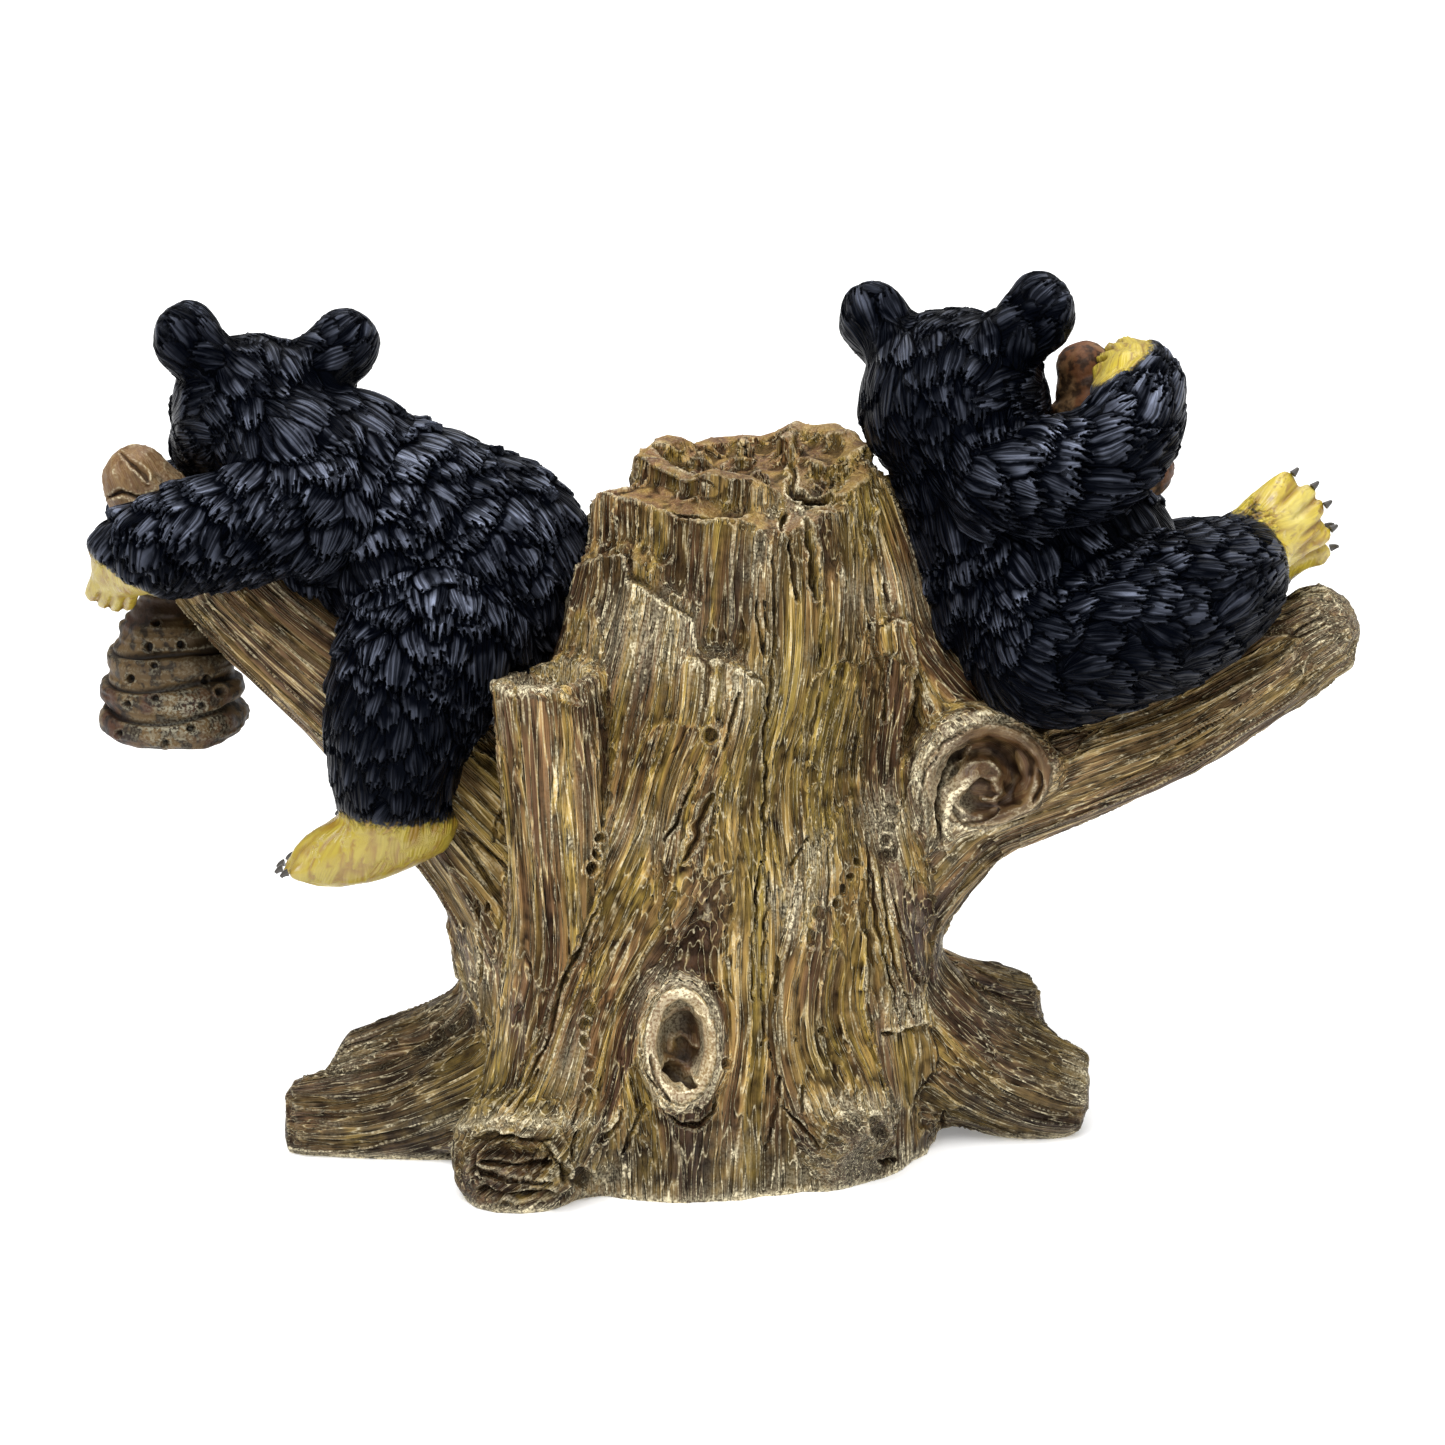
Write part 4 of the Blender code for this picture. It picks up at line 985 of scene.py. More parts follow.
# Carved on the viewer's side, in the picture's plane: points across and up, half width, depth, raised lip.
slits = [
    # long crack of the trunk
    ([(9.1, 30.6), (9.5, 22.5), (9.3, 13.3), (8.7, 4.1), (8, -4.1), (7.6, -14.2),
      (7.4, -23.4)], 0.45, 1.3, 0.25),
    ([(7.2, -25.2), (6.3, -32.6), (5.4, -39), (5.4, -46.3), (5.6, -50.9)], 0.5, 1.3, 0.2),
    ([(8.7, -27.1), (7.8, -36.2), (7.4, -43.6), (7.2, -51.8), (7.4, -59.2)], 0.4, 0.9, 0.1),
    # scoops under the notch
    ([(15.3, 37.2), (16.2, 32.6), (17, 27.1), (17.2, 23)], 1.1, 2.2, 0.4),
    ([(11.7, 33.5), (12.8, 29.8), (13.3, 26.2), (13.5, 22.5)], 0.75, 1.6, 0.4),
    ([(11.8, 38.8), (11.3, 36.8), (10.9, 35)], 0.6, 1.8, 0.3),
    ([(6, 22.8), (6.7, 18.8), (7.4, 12.4)], 0.5, 1.2, 0.2),
    ([(7.8, 21.9), (8.4, 16.6)], 0.4, 0.9, 0.1),
    ([(19.5, 23.9), (18.8, 19.7), (18.1, 15.1), (17.5, 9.6)], 0.55, 0.6, 0.1),
    ([(22.7, 26.2), (22.3, 18.8), (21.4, 12.4)], 0.5, 0.6, 0.1),
    # beside the right strip
    ([(26.3, 19.5), (27.8, 14.2), (29.3, 8.7), (30.2, 4.1)], 0.55, 1.1, 0.5),
    ([(30.2, 4.1), (30, 1.9), (29.8, -0.1)], 0.75, 1.8, 0.3),
    ([(30, 25.6), (30.4, 21.9)], 0.55, 1.4, 0.1),
    ([(36.1, 14.2), (35.7, 11.1)], 0.5, 1.4, 0.3),
    ([(36.4, 6), (35.1, 0.5), (33.9, -5), (33.1, -11.5), (32.8, -15.1)], 1.3, 1.3, 0.1),
    ([(17.9, 5.6), (17.2, 1.4), (16.4, -2.5)], 0.6, 0.8, 0.1),
    # middle slab
    ([(3, 5), (1.6, 0.5), (0.1, -4.7)], 0.45, 1.2, 0.2),
    ([(-0.3, 7.4), (-1, 0.1)], 0.8, 0.8, 0.2),
    ([(-2.7, 7.8), (-3.4, 1.9)], 0.7, 0.8, 0.2),
    ([(1, 4.1), (-0.3, -1)], 0.6, 0.6, 0.1),
    ([(7.6, 6), (7.6, -6.9)], 0.4, 0.8, 0.3),
    # left of it
    ([(-4.7, -9.1), (-6, -12.4), (-7.6, -16.4), (-9.3, -19.7), (-10.6, -22.1)], 0.45, 1.3, 0.35),
    ([(-1.9, -13.3), (-3.4, -16.4), (-4.7, -20.1), (-6, -23.4), (-6.9, -25.6)], 1.1, 1.6, 0.5),
    # beside the stub
    ([(-21.2, 6), (-20.8, -3.2), (-21.4, -12.4), (-21.9, -18.8)], 1.4, 1, 0),
    ([(-39.9, -14.2), (-41.2, -17.9), (-42.1, -21.9)], 0.6, 1.3, 0.2),
    ([(-45.1, -32.6), (-44.5, -38.1), (-44, -44), (-44.7, -48.2)], 0.65, 1.4, 0.2),
    # down into the front left root
    ([(-22.8, -33.1), (-24.7, -38.1), (-27.1, -43), (-29.3, -48.2), (-30.6, -52.4), (-32, -57.7),
      (-33.9, -62.7), (-36.6, -67.1), (-39.7, -70.4)], 0.6, 1.5, 0.3),
    ([(-33.5, -63.8), (-35.7, -67.8), (-38.3, -71.5)], 0.5, 1, 0.2),
    ([(-38.6, -67.4), (-40.8, -69.6), (-42.7, -71.5)], 0.5, 0.8, 0.1),
    # round the eye-shaped knot
    ([(-15.9, -60.1), (-15.1, -63), (-13.3, -65.8), (-11.1, -68)], 0.5, 1.2, 0.4),
    ([(-12.4, -69.3), (-10, -71.5), (-7.1, -73.3), (-4.1, -73.7), (-2.1, -71.7),
      (-1.2, -68.5)], 0.7, 1.4, 0.5),
    ([(-14, -69.8), (-16.1, -73.9), (-18.6, -78.5)], 0.8, 0.9, 0.3),
    ([(-18.1, -70.7), (-20.3, -74.4), (-22.5, -77.5)], 0.7, 0.8, 0.3),
    ([(-25.6, -68), (-26.3, -71.1), (-27.4, -73.7)], 0.6, 1, 0.2),
    ([(-26.7, -75.2), (-27.4, -77.5), (-27.4, -80.3)], 0.6, 1.2, 0.3),
    # right half
    ([(15.9, -21.2), (14.2, -23.8), (12.8, -26.3)], 0.4, 1, 0.1),
    ([(25.6, -28.9), (26.3, -38.1), (27.4, -44), (28.2, -50.9)], 0.9, 0.7, 0.3),
    ([(27.6, -25.6), (28, -37.2), (29.8, -44), (31.3, -49.1), (32.2, -55.5)], 0.5, 1.1, 0.3),
    ([(29.6, -28.9), (30.4, -39.9), (32.6, -48.2), (34.8, -53.7)], 0.45, 0.9, 0.3),
    ([(31.7, -32.6), (33.1, -41.8), (35.9, -49.1), (37.3, -53.7)], 0.45, 0.9, 0.3),
    # under the fringe's end
    ([(29.3, -57.2), (31.7, -57.5), (34, -56.4), (37.2, -55.3)], 0.7, 1.5, 0),
    ([(10.4, -43.2), (10, -46.9), (10, -50.2)], 0.7, 1, 0.1),
    # the eye-shaped knot's dark hollow
    ([(-9.8, -62.4), (-7.6, -65.4), (-5.6, -66.2)], 1.7, 2.2, 0.1),
    ([(-12.9, -61), (-11.9, -66), (-9.4, -70)], 0.5, 1.2, 0.2),
    # between the front roots
    ([(10.7, -65.2), (10.4, -69.3)], 0.6, 1.5, 0.2),
    ([(10, -70), (8.9, -74.4), (7.6, -78.8)], 0.5, 1.3, 0.2),
    ([(10.6, -70.7), (13.3, -72.9), (16.2, -76.1), (17.9, -78.8)], 0.5, 1.3, 0.4),
    ([(14.8, -66.5), (14.6, -71.5)], 0.7, 1, 0.2),
    ([(20.8, -61), (21.2, -68.4)], 0.9, 0.5, 0.3),
    ([(28.9, -80.7), (32, -80.5)], 0.9, 2, 0.1),
    ([(40.8, -72), (40.5, -74.8)], 0.8, 1.5, 0.1),
    # inside the left root's mouth
    ([(-44.9, -86.2), (-37.2, -87.1), (-29.8, -86.9)], 1.3, 1.8, 0.1),
    ([(-44.5, -76.6), (-39, -76.1), (-31.7, -76.8)], 1, 1.6, 0),
    ([(-44.5, -81.3), (-38, -81.7), (-31.5, -81)], 0.75, 1.5, 0.3),
    ([(-32.6, -79.4), (-35.3, -84)], 0.5, 1, 0.1),
    ([(-34.4, -78.5), (-37.2, -83.6)], 0.45, 0.9, 0.1),
    ([(-45.8, -78.5), (-46.3, -83)], 0.8, 1.5, 0.1),
    ([(-29.5, -81.2), (-28.4, -84.9)], 0.9, 1.5, 0.1),
    # splits along the right knot's collar, and behind its crescent
    ([(44.6, -1.2), (40.4, -4), (37.6, -8.4), (36.6, -14), (36.4, -20.5)], 0.35, 0.7, 0.2),
    ([(44.8, -4.6), (41.7, -7.6), (39.9, -12), (39.5, -17), (39.9, -21.5)], 0.75, 1.4, 0.2),
    ([(50.6, -15.8), (47.5, -18.2), (44.2, -18.6), (42.6, -15.6)], 0.8, 0.9, 0.1),
    # creases of the left branch's tip
    ([(-110.6, 49.4), (-107.8, 47.4), (-104.8, 44.2)], 0.6, 0.6, 0.4),
    ([(-113.4, 41.2), (-110.2, 42.2), (-106.9, 41.2), (-103.8, 42.6)], 0.6, 0.9, 0.2),
    # the dark gap under the curl in the crown
    ([(12.7, 46.8), (13, 42.8), (15.2, 40.4), (19, 40), (22, 41.6)], 1.1, 2.4, 0.5),
    ([(16.4, 47.2), (17.4, 43.8)], 0.5, 0.8, 0.3),
    ([(19.4, 45.2), (19.8, 42.4)], 0.5, 0.8, 0.3),
    ([(22.4, 47.4), (22.2, 43.6)], 0.5, 0.8, 0.3),
    ([(57.4, -8.4), (58.2, -11.5), (57.4, -14.4)], 0.8, 1.3, 0.1),
]
# points, half width and rise
ridges = [
    # lip of the left root's mouth
    ([(-50, -76.6), (-46.7, -74.2), (-40.8, -72.8), (-35.3, -73.1), (-31.3, -74.8), (-29.3, -78.5),
      (-27.8, -83.2)], 0.8, 0.9),
    # its inner core
    ([(-45.2, -83.2), (-40.8, -84.3), (-35.3, -84.7), (-30.6, -85.2)], 0.7, 1),
    # lip of the right scoop
    ([(18.6, -76.6), (19, -73.9), (20.6, -72.2), (23, -71.5), (26.7, -71.3), (29.3, -72.9), (30.9, -75.7),
      (31.3, -78.8)], 0.8, 0.8),
    # inside the eye-shaped knot
    ([(-9.6, -59.7), (-9.3, -57.5), (-7.8, -56.6), (-6, -57.5), (-4.7, -59.2)], 0.5, 0.6),
    ([(-10.7, -54.6), (-9.3, -52.8), (-6, -52.4), (-3, -54.2), (-2.3, -56.4)], 0.4, 0.4),
    # snail in the right knot
    ([(41.5, -21.6), (41, -17.6), (42.1, -13.8), (44.4, -11), (46.9, -9.3), (49.7, -10.2), (50.6, -13),
      (49.6, -14.6), (47.8, -14.2)], 0.75, 1.1),
    # edge beside the right strip
    ([(24.3, 33.5), (25.6, 26.2), (26.3, 20.3), (28, 12.9), (29.5, 7.8), (30.4, 4.9)], 0.4, 0.5),
    # top of the right strip
    ([(28.9, 18.3), (30.7, 19.2), (33.5, 19.2), (35.5, 17.7)], 0.6, 0.6),
    # rim of the pot
    ([(-42.3, 8.5), (-41.4, 6.3), (-38.6, 5.6), (-35.3, 6), (-32, 5.6), (-28.9, 4.5),
      (-26.2, 3.8)], 0.9, 0.8),
    # a curl inside the crown
    ([(13.4, 47.9), (16.0, 48.4), (19.5, 45.8), (23.6, 49.2), (26.7, 50.6)], 0.6, 0.8),
    # slope down the trunk's middle
    ([(23.4, -14.2), (20.6, -19.7), (17.9, -23.8), (15.1, -29.8), (13.3, -33.5), (11.5, -37.3)], 1, 0.7),
]
# insect holes and dents: across, up, half width, half height and depth
pits = [
    (-22.5, -21.2, 0.92, 0.92, 1.3), (-23, -24.5, 0.83, 0.92, 1.4), (-24.1, -26.9, 1.1, 1.1, 1.4),
    (-43.2, -34, 0.64, 1.01, 1.2), (-24.3, -52.4, 1.1, 1.19, 1.2), (-24.9, -55.5, 1.01, 1.1, 1.4),
    (-25.1, -58.6, 0.92, 1.1, 1.2), (-24.3, -62.3, 0.92, 1.19, 0.7), (-24.3, -65.4, 0.92, 1.19, 0.7),
    (-24.3, -68.2, 0.92, 0.83, 0.7), (-2.3, -2.7, 1.19, 1.65, 1.5), (16.4, -9.8, 1.28, 2.02, 0.7),
    (24.9, -25.6, 0.73, 0.73, 1.3), (23.4, -28.2, 0.73, 0.92, 1.1), (21.2, -32.9, 0.83, 0.92, 1.4),
    (22.1, -30.6, 0.64, 1.01, 0.6), (30.9, -16.2, 1.01, 1.28, 0.8), (30.6, -19.2, 1.01, 0.92, 0.8),
    (30.2, -21.7, 1.1, 1.1, 0.8), (29.5, -24.3, 1.1, 1.1, 0.8), (17.5, -34.8, 0.92, 1.65, 0.7),
    (16.1, -39.4, 0.92, 1.65, 0.7), (1, -63, 0.92, 1.01, 1.4), (-1.4, -48.5, 0.92, 0.55, 0.9),
    (-2.8, -21.2, 0.92, 0.73, 1.2), (17.9, -56.4, 0.73, 0.73, 0.6), (-4.7, -70.7, 0.55, 0.46, 0.7),
    (-26, -83.6, 1.84, 2.02, 1.5), (-28.5, -82.5, 0.73, 0.92, 1.2),
    (28.5, -74.4, 1.47, 2.39, 1), (13.5, -58.3, 0.37, 0.37, 0.7),
]
# patches of paint: across, up, half width, half height and strength
patches = {
    "dust": [
        (-15.1, 15.1, 11, 8.3, 0.6), (2.3, 6, 6.4, 4.6, 0.8), (17, -25.2, 2.9, 5.5, 0.9),
        (13.3, -33.5, 2.6, 5.1, 0.9), (-11.5, -52.8, 3.7, 6.2, 0.9), (40.8, -12.4, 3.7, 11, 0.9),
        (-37.2, -73.3, 13.8, 1.8, 0.9), (23.4, -70.2, 8.3, 2.4, 0.8), (6.9, 29.8, 3.7, 7.3, 0.5),
        (-37.2, 6.9, 7.3, 2.2, 0.9), (-28, 9.3, 5.5, 2.2, 0.8), (-22.5, -84, 5.5, 3.7, 0.7),
        (3.2, -78.5, 4.6, 3.7, 0.4), (33.5, -52.8, 5.1, 3.3, 0.7), (-46.3, -47.3, 7.3, 5.5, 0.4),
        (30.7, -25.2, 3.3, 11, 0.5),
    ],
    "moss": [
        (14.2, 0.5, 12.8, 22, 0.9), (-0.5, 37.2, 7.3, 4.6, 0.7), (-18.8, -28.9, 9.2, 11, 0.5),
        (-0.5, -27.1, 3.7, 7.3, 0.6), (-33.5, -69.3, 7.3, 7.3, 0.7), (25.2, -43.6, 5.5, 11, 0.7),
        (6.9, -43.6, 4.6, 14.7, 0.6), (-11.5, -10.6, 7.3, 11, 0.4), (47.3, -71.1, 11, 5.5, 0.6),
        (19.7, -61.9, 7.3, 9.2, 0.7), (-50, -65.6, 9.2, 7.3, 0.5), (25.2, 37.2, 4.6, 11, 0.8),
        (-13.3, 29.8, 7.3, 7.3, 0.5),
    ],
    "umber": [
        (-0.5, 22.5, 9.2, 9.2, 0.9), (-18.8, 28, 5.5, 9.2, 0.5), (-29.8, 29.8, 5.5, 11, 0.6),
        (-7.8, 44.5, 5.5, 5.5, 0.4), (-22.5, -3.2, 2.8, 12.8, 0.7), (-4.1, -38.1, 5.5, 11, 0.6),
        (28.9, -19.7, 3.7, 5.5, 0.5), (48.2, -12.4, 8.4, 9.2, 1), (37.2, -38.1, 4.8, 12.8, 0.8),
        (-15.1, -43.6, 5.5, 11, 0.5), (-38.1, -81.2, 8.3, 3.7, 0.6), (25.2, -75.7, 5.5, 3.7, 0.8),
        (-13.3, -82.1, 11, 4.6, 0.5), (16.1, 40.8, 5.5, 5.5, 0.8),
        (-2, 45.2, 12, 4.2, 0.9), (-19.5, 21.5, 5, 10, 0.9), (-108.5, 43, 6, 3, 0.9), (-103, 41, 5, 5, 0.7),
    ],
}
# points, drop and how far the drop fades out
ledges = [
    # plank edges: what lies left of the way along each is lower
    ([(-23.0, 43.1), (-21.3, 42.0), (-14.1, 40.5), (-7.8, 38.1), (-2.9, 37.4), (3.2, 38.0),
      (7.8, 38.4)], 1.6, 5),
    ([(-25.1, 30.2), (-19.0, 31.0), (-16.7, 26.3), (-11.1, 22.1), (-5.5, 19.3), (-4.1, 10.7)], 1.8, 4),
    ([(-4.1, 10.7), (-0.9, 11.7), (3.2, 9.9), (7.1, 7.6), (7.6, -1.6), (7.6, -9.7)], 1.6, 3.5),
    ([(28.5, 17.0), (31.8, 19.1), (35.0, 18.3), (36.0, 14.9), (35.2, -1.6)], 1.3, 2.5),
    ([(38.4, -54.6), (36.9, -55.9), (33.3, -56.6), (29.7, -57.5)], 1.8, 5),
    # the crown's inner wall
    ([(-15.4, 51.2), (-12.6, 50.8), (-9.0, 47.9), (-6.5, 46.1), (-5.1, 48.8), (1.2, 49.2), (9.3, 48.6),
      (11.6, 50.2)], 1.4, 3),
    # the layers in the left root's mouth
    ([(-29.6, -81.9), (-32.0, -77.3), (-38.6, -75.8), (-43.7, -75.0), (-47.3, -76.8)], 1.8, 4),
    ([(-30.9, -84.2), (-39.6, -83.6), (-45.9, -81.6)], 1.9, 3),
]


def knotSpace(places, knot):
    centre, facing, wide, high = knot
    out = unit(np.array(facing, np.float32))
    side = unit(np.cross((0, 0, 1), out).astype(np.float32))
    up = np.cross(out, side)
    offset = places - np.array(centre, np.float32)
    x, y, depth = offset @ side / wide, offset @ up / high, offset @ out
    return x, y, np.sqrt(x * x + y * y) + 1e-6, step(14, 9, np.abs(depth)), side


def strandsOf(places):
    # For every point: its share in each limb, its place along the limbs' grain, and the knots' share.
    # The grain parts before a knot and closes behind it as a stream does round a stone.
    bent = places + stumpLook["wander"] * np.stack([lattice(places, 19.0, seed) for seed in (61, 62, 63)], 1)
    knotShare = np.zeros(len(places), np.float32)
    knotSpots = np.zeros_like(places)
    for number, knot in enumerate(stumpKnots):
        x, y, r, near, side = knotSpace(places, knot)
        pushed = np.where(r > 1, x / r ** 2, 0) * near * step(4.5, 2.5, r)
        bent -= side * (0.65 * pushed * knot[2])[:, None]
        inside = step(1.1, 0.92, r) * near
        rings = np.stack((r * knot[2] * 1.3 + 40 * number, 1.4 * x / r, 14 * y / r), 1)
        knotSpots = np.where((inside > knotShare)[:, None], rings, knotSpots)
        knotShare = np.maximum(knotShare, inside)
    shares, ways = limbShares(places, stumpLimbs, 14)
    return shares, ways, bent, knotShare, knotSpots


def woodNoise(shares, spots, knotShare, knotSpots, cell, stretch, seed):
    # noise drawn out along the grain, blended from limb to limb
    count = len(knotShare)
    total = np.zeros(count, np.float32)
    power = np.full(count, 1e-4, np.float32)
    drawn = np.array((1, 1, 1 / stretch), np.float32)
    for number, (picks, places) in enumerate(spots):
        share = shares[number][picks] * (1 - knotShare[picks])
        total[picks] += share * lattice(places * drawn + number * 17.3, cell, seed)
        power[picks] += share * share
    ringed = np.nonzero(knotShare > 0)[0]
    total[ringed] += knotShare[ringed] * lattice(knotSpots[ringed] * drawn, cell, seed)
    power[ringed] += knotShare[ringed] ** 2
    return total / np.sqrt(power)


def lineDistance(spots, line):
    # how far each spot is from a run of points, how far along the run, from 0 to 1, and whether left of it
    points = np.array(line, np.float32)
    lengths = np.linalg.norm(points[1:] - points[:-1], axis=1)
    best = np.full(len(spots), np.inf, np.float32)
    along = np.zeros(len(spots), np.float32)
    left = np.zeros(len(spots), np.float32)
    done = 0.0
    for a, b, length in zip(points, points[1:], lengths):
        offset = spots - a
        t = np.clip(offset @ (b - a) / length ** 2, 0, 1)
        away = np.linalg.norm(offset - t[:, None] * (b - a), axis=1)
        closer = away < best
        best[closer] = away[closer]
        along[closer] = (done + t[closer] * length) / lengths.sum()
        left[closer] = ((b - a)[0] * offset[closer, 1] - (b - a)[1] * offset[closer, 0]) > 0
        done += length
    return best, along, left


def carveFront(places, normals):
    # how far the carving moves each point in or out, and how dark its bottom is painted: wash with painted
    # shade in slits and pits and behind the ledges
    moved = np.zeros(len(places), np.float32)
    dark = np.zeros(len(places), np.float32)
    lift = math.radians(studio["elevation"])
    facing = normals @ np.array((0, -math.cos(lift), math.sin(lift)), np.float32)
    front = np.nonzero((facing > 0.12) & (places[:, 1] < 6))[0]
    spots = pictureSpots(places[front])
    # nothing is carved quite straight
    spots += 0.5 * np.stack([lattice(places[front], 2.6, seed) for seed in (81, 82)], 1)
    ragged = 0.75 + 0.45 * lattice(places[front], 1.9, 83)
    for line, drop, fade in ledges:
        away, along, left = lineDistance(spots, line)
        ends = np.clip(8 * np.minimum(along, 1 - along), 0, 1)
        moved[front] -= ends * left * drop * np.exp(-away / fade)
        moved[front] += ends * 0.35 * bell(away - 0.5, 0.7) * (1 - left)
        # painted shade behind each plank edge
        dark[front] = np.maximum(dark[front], 0.75 * ends * left * bell(away, 0.9))
    for line, half, depth, lip in slits:
        points = np.array(line)
        box = ((spots > points.min(0) - 4 * half) & (spots < points.max(0) + 4 * half)).all(1)
        away, along, _ = lineDistance(spots[box], line)
        full = np.clip(6 * np.minimum(along + 0.04, 1.04 - along), 0, 1)
        width = half * 0.8 * ragged[box] * (0.35 + 0.65 * full)
        cut = np.exp(-(away / width) ** 2.6)
        raised = bell(away - 1.9 * width, 0.6 * width)
        moved[front[box]] += lip * raised - depth * cut
        # painted shade at the bottom of each slit
        dark[front[box]] = np.maximum(dark[front[box]], cut * min(1.0, 0.35 + depth / 2))
    for line, half, rise in ridges:
        points = np.array(line)
        box = ((spots > points.min(0) - 4 * half) & (spots < points.max(0) + 4 * half)).all(1)
        away, along, _ = lineDistance(spots[box], line)
        width = half * (0.5 + 0.5 * np.clip(5 * np.minimum(along + 0.05, 1.05 - along), 0, 1))
        moved[front[box]] += rise * bell(away, width)
    for across, up, wide, high, depth in pits:
        r = np.sqrt(((spots[:, 0] - across) / wide) ** 2 + ((spots[:, 1] - up) / high) ** 2)
        cut = step(1.12, 0.7, r)
        moved[front] += 0.3 * bell(r - 1.3, 0.22) - depth * cut
        # painted shade at the bottom of each pit
        dark[front] = np.maximum(dark[front], cut * np.clip(depth / 1.5 - 0.15, 0, 1))
    return moved, dark


def softPatches(spots, places):
    mask = np.zeros(len(spots), np.float32)
    for across, up, wide, high, strength in places:
        r2 = ((spots[:, 0] - across) / wide) ** 2 + ((spots[:, 1] - up) / high) ** 2
        mask = np.maximum(mask, strength * np.exp(-r2))
    return mask


def patchMask(places, name):
    # listed patches of glaze on the viewer's side; the other sides get theirs from noise
    return softPatches(pictureSpots(places), patches[name]) * step(12, -6, places[:, 1])


def branchTip(places):
    # 1 at the left branch's tip, where the wood is smooth
    return step(-93, -100, places[:, 0]) * step(104, 112, places[:, 2])


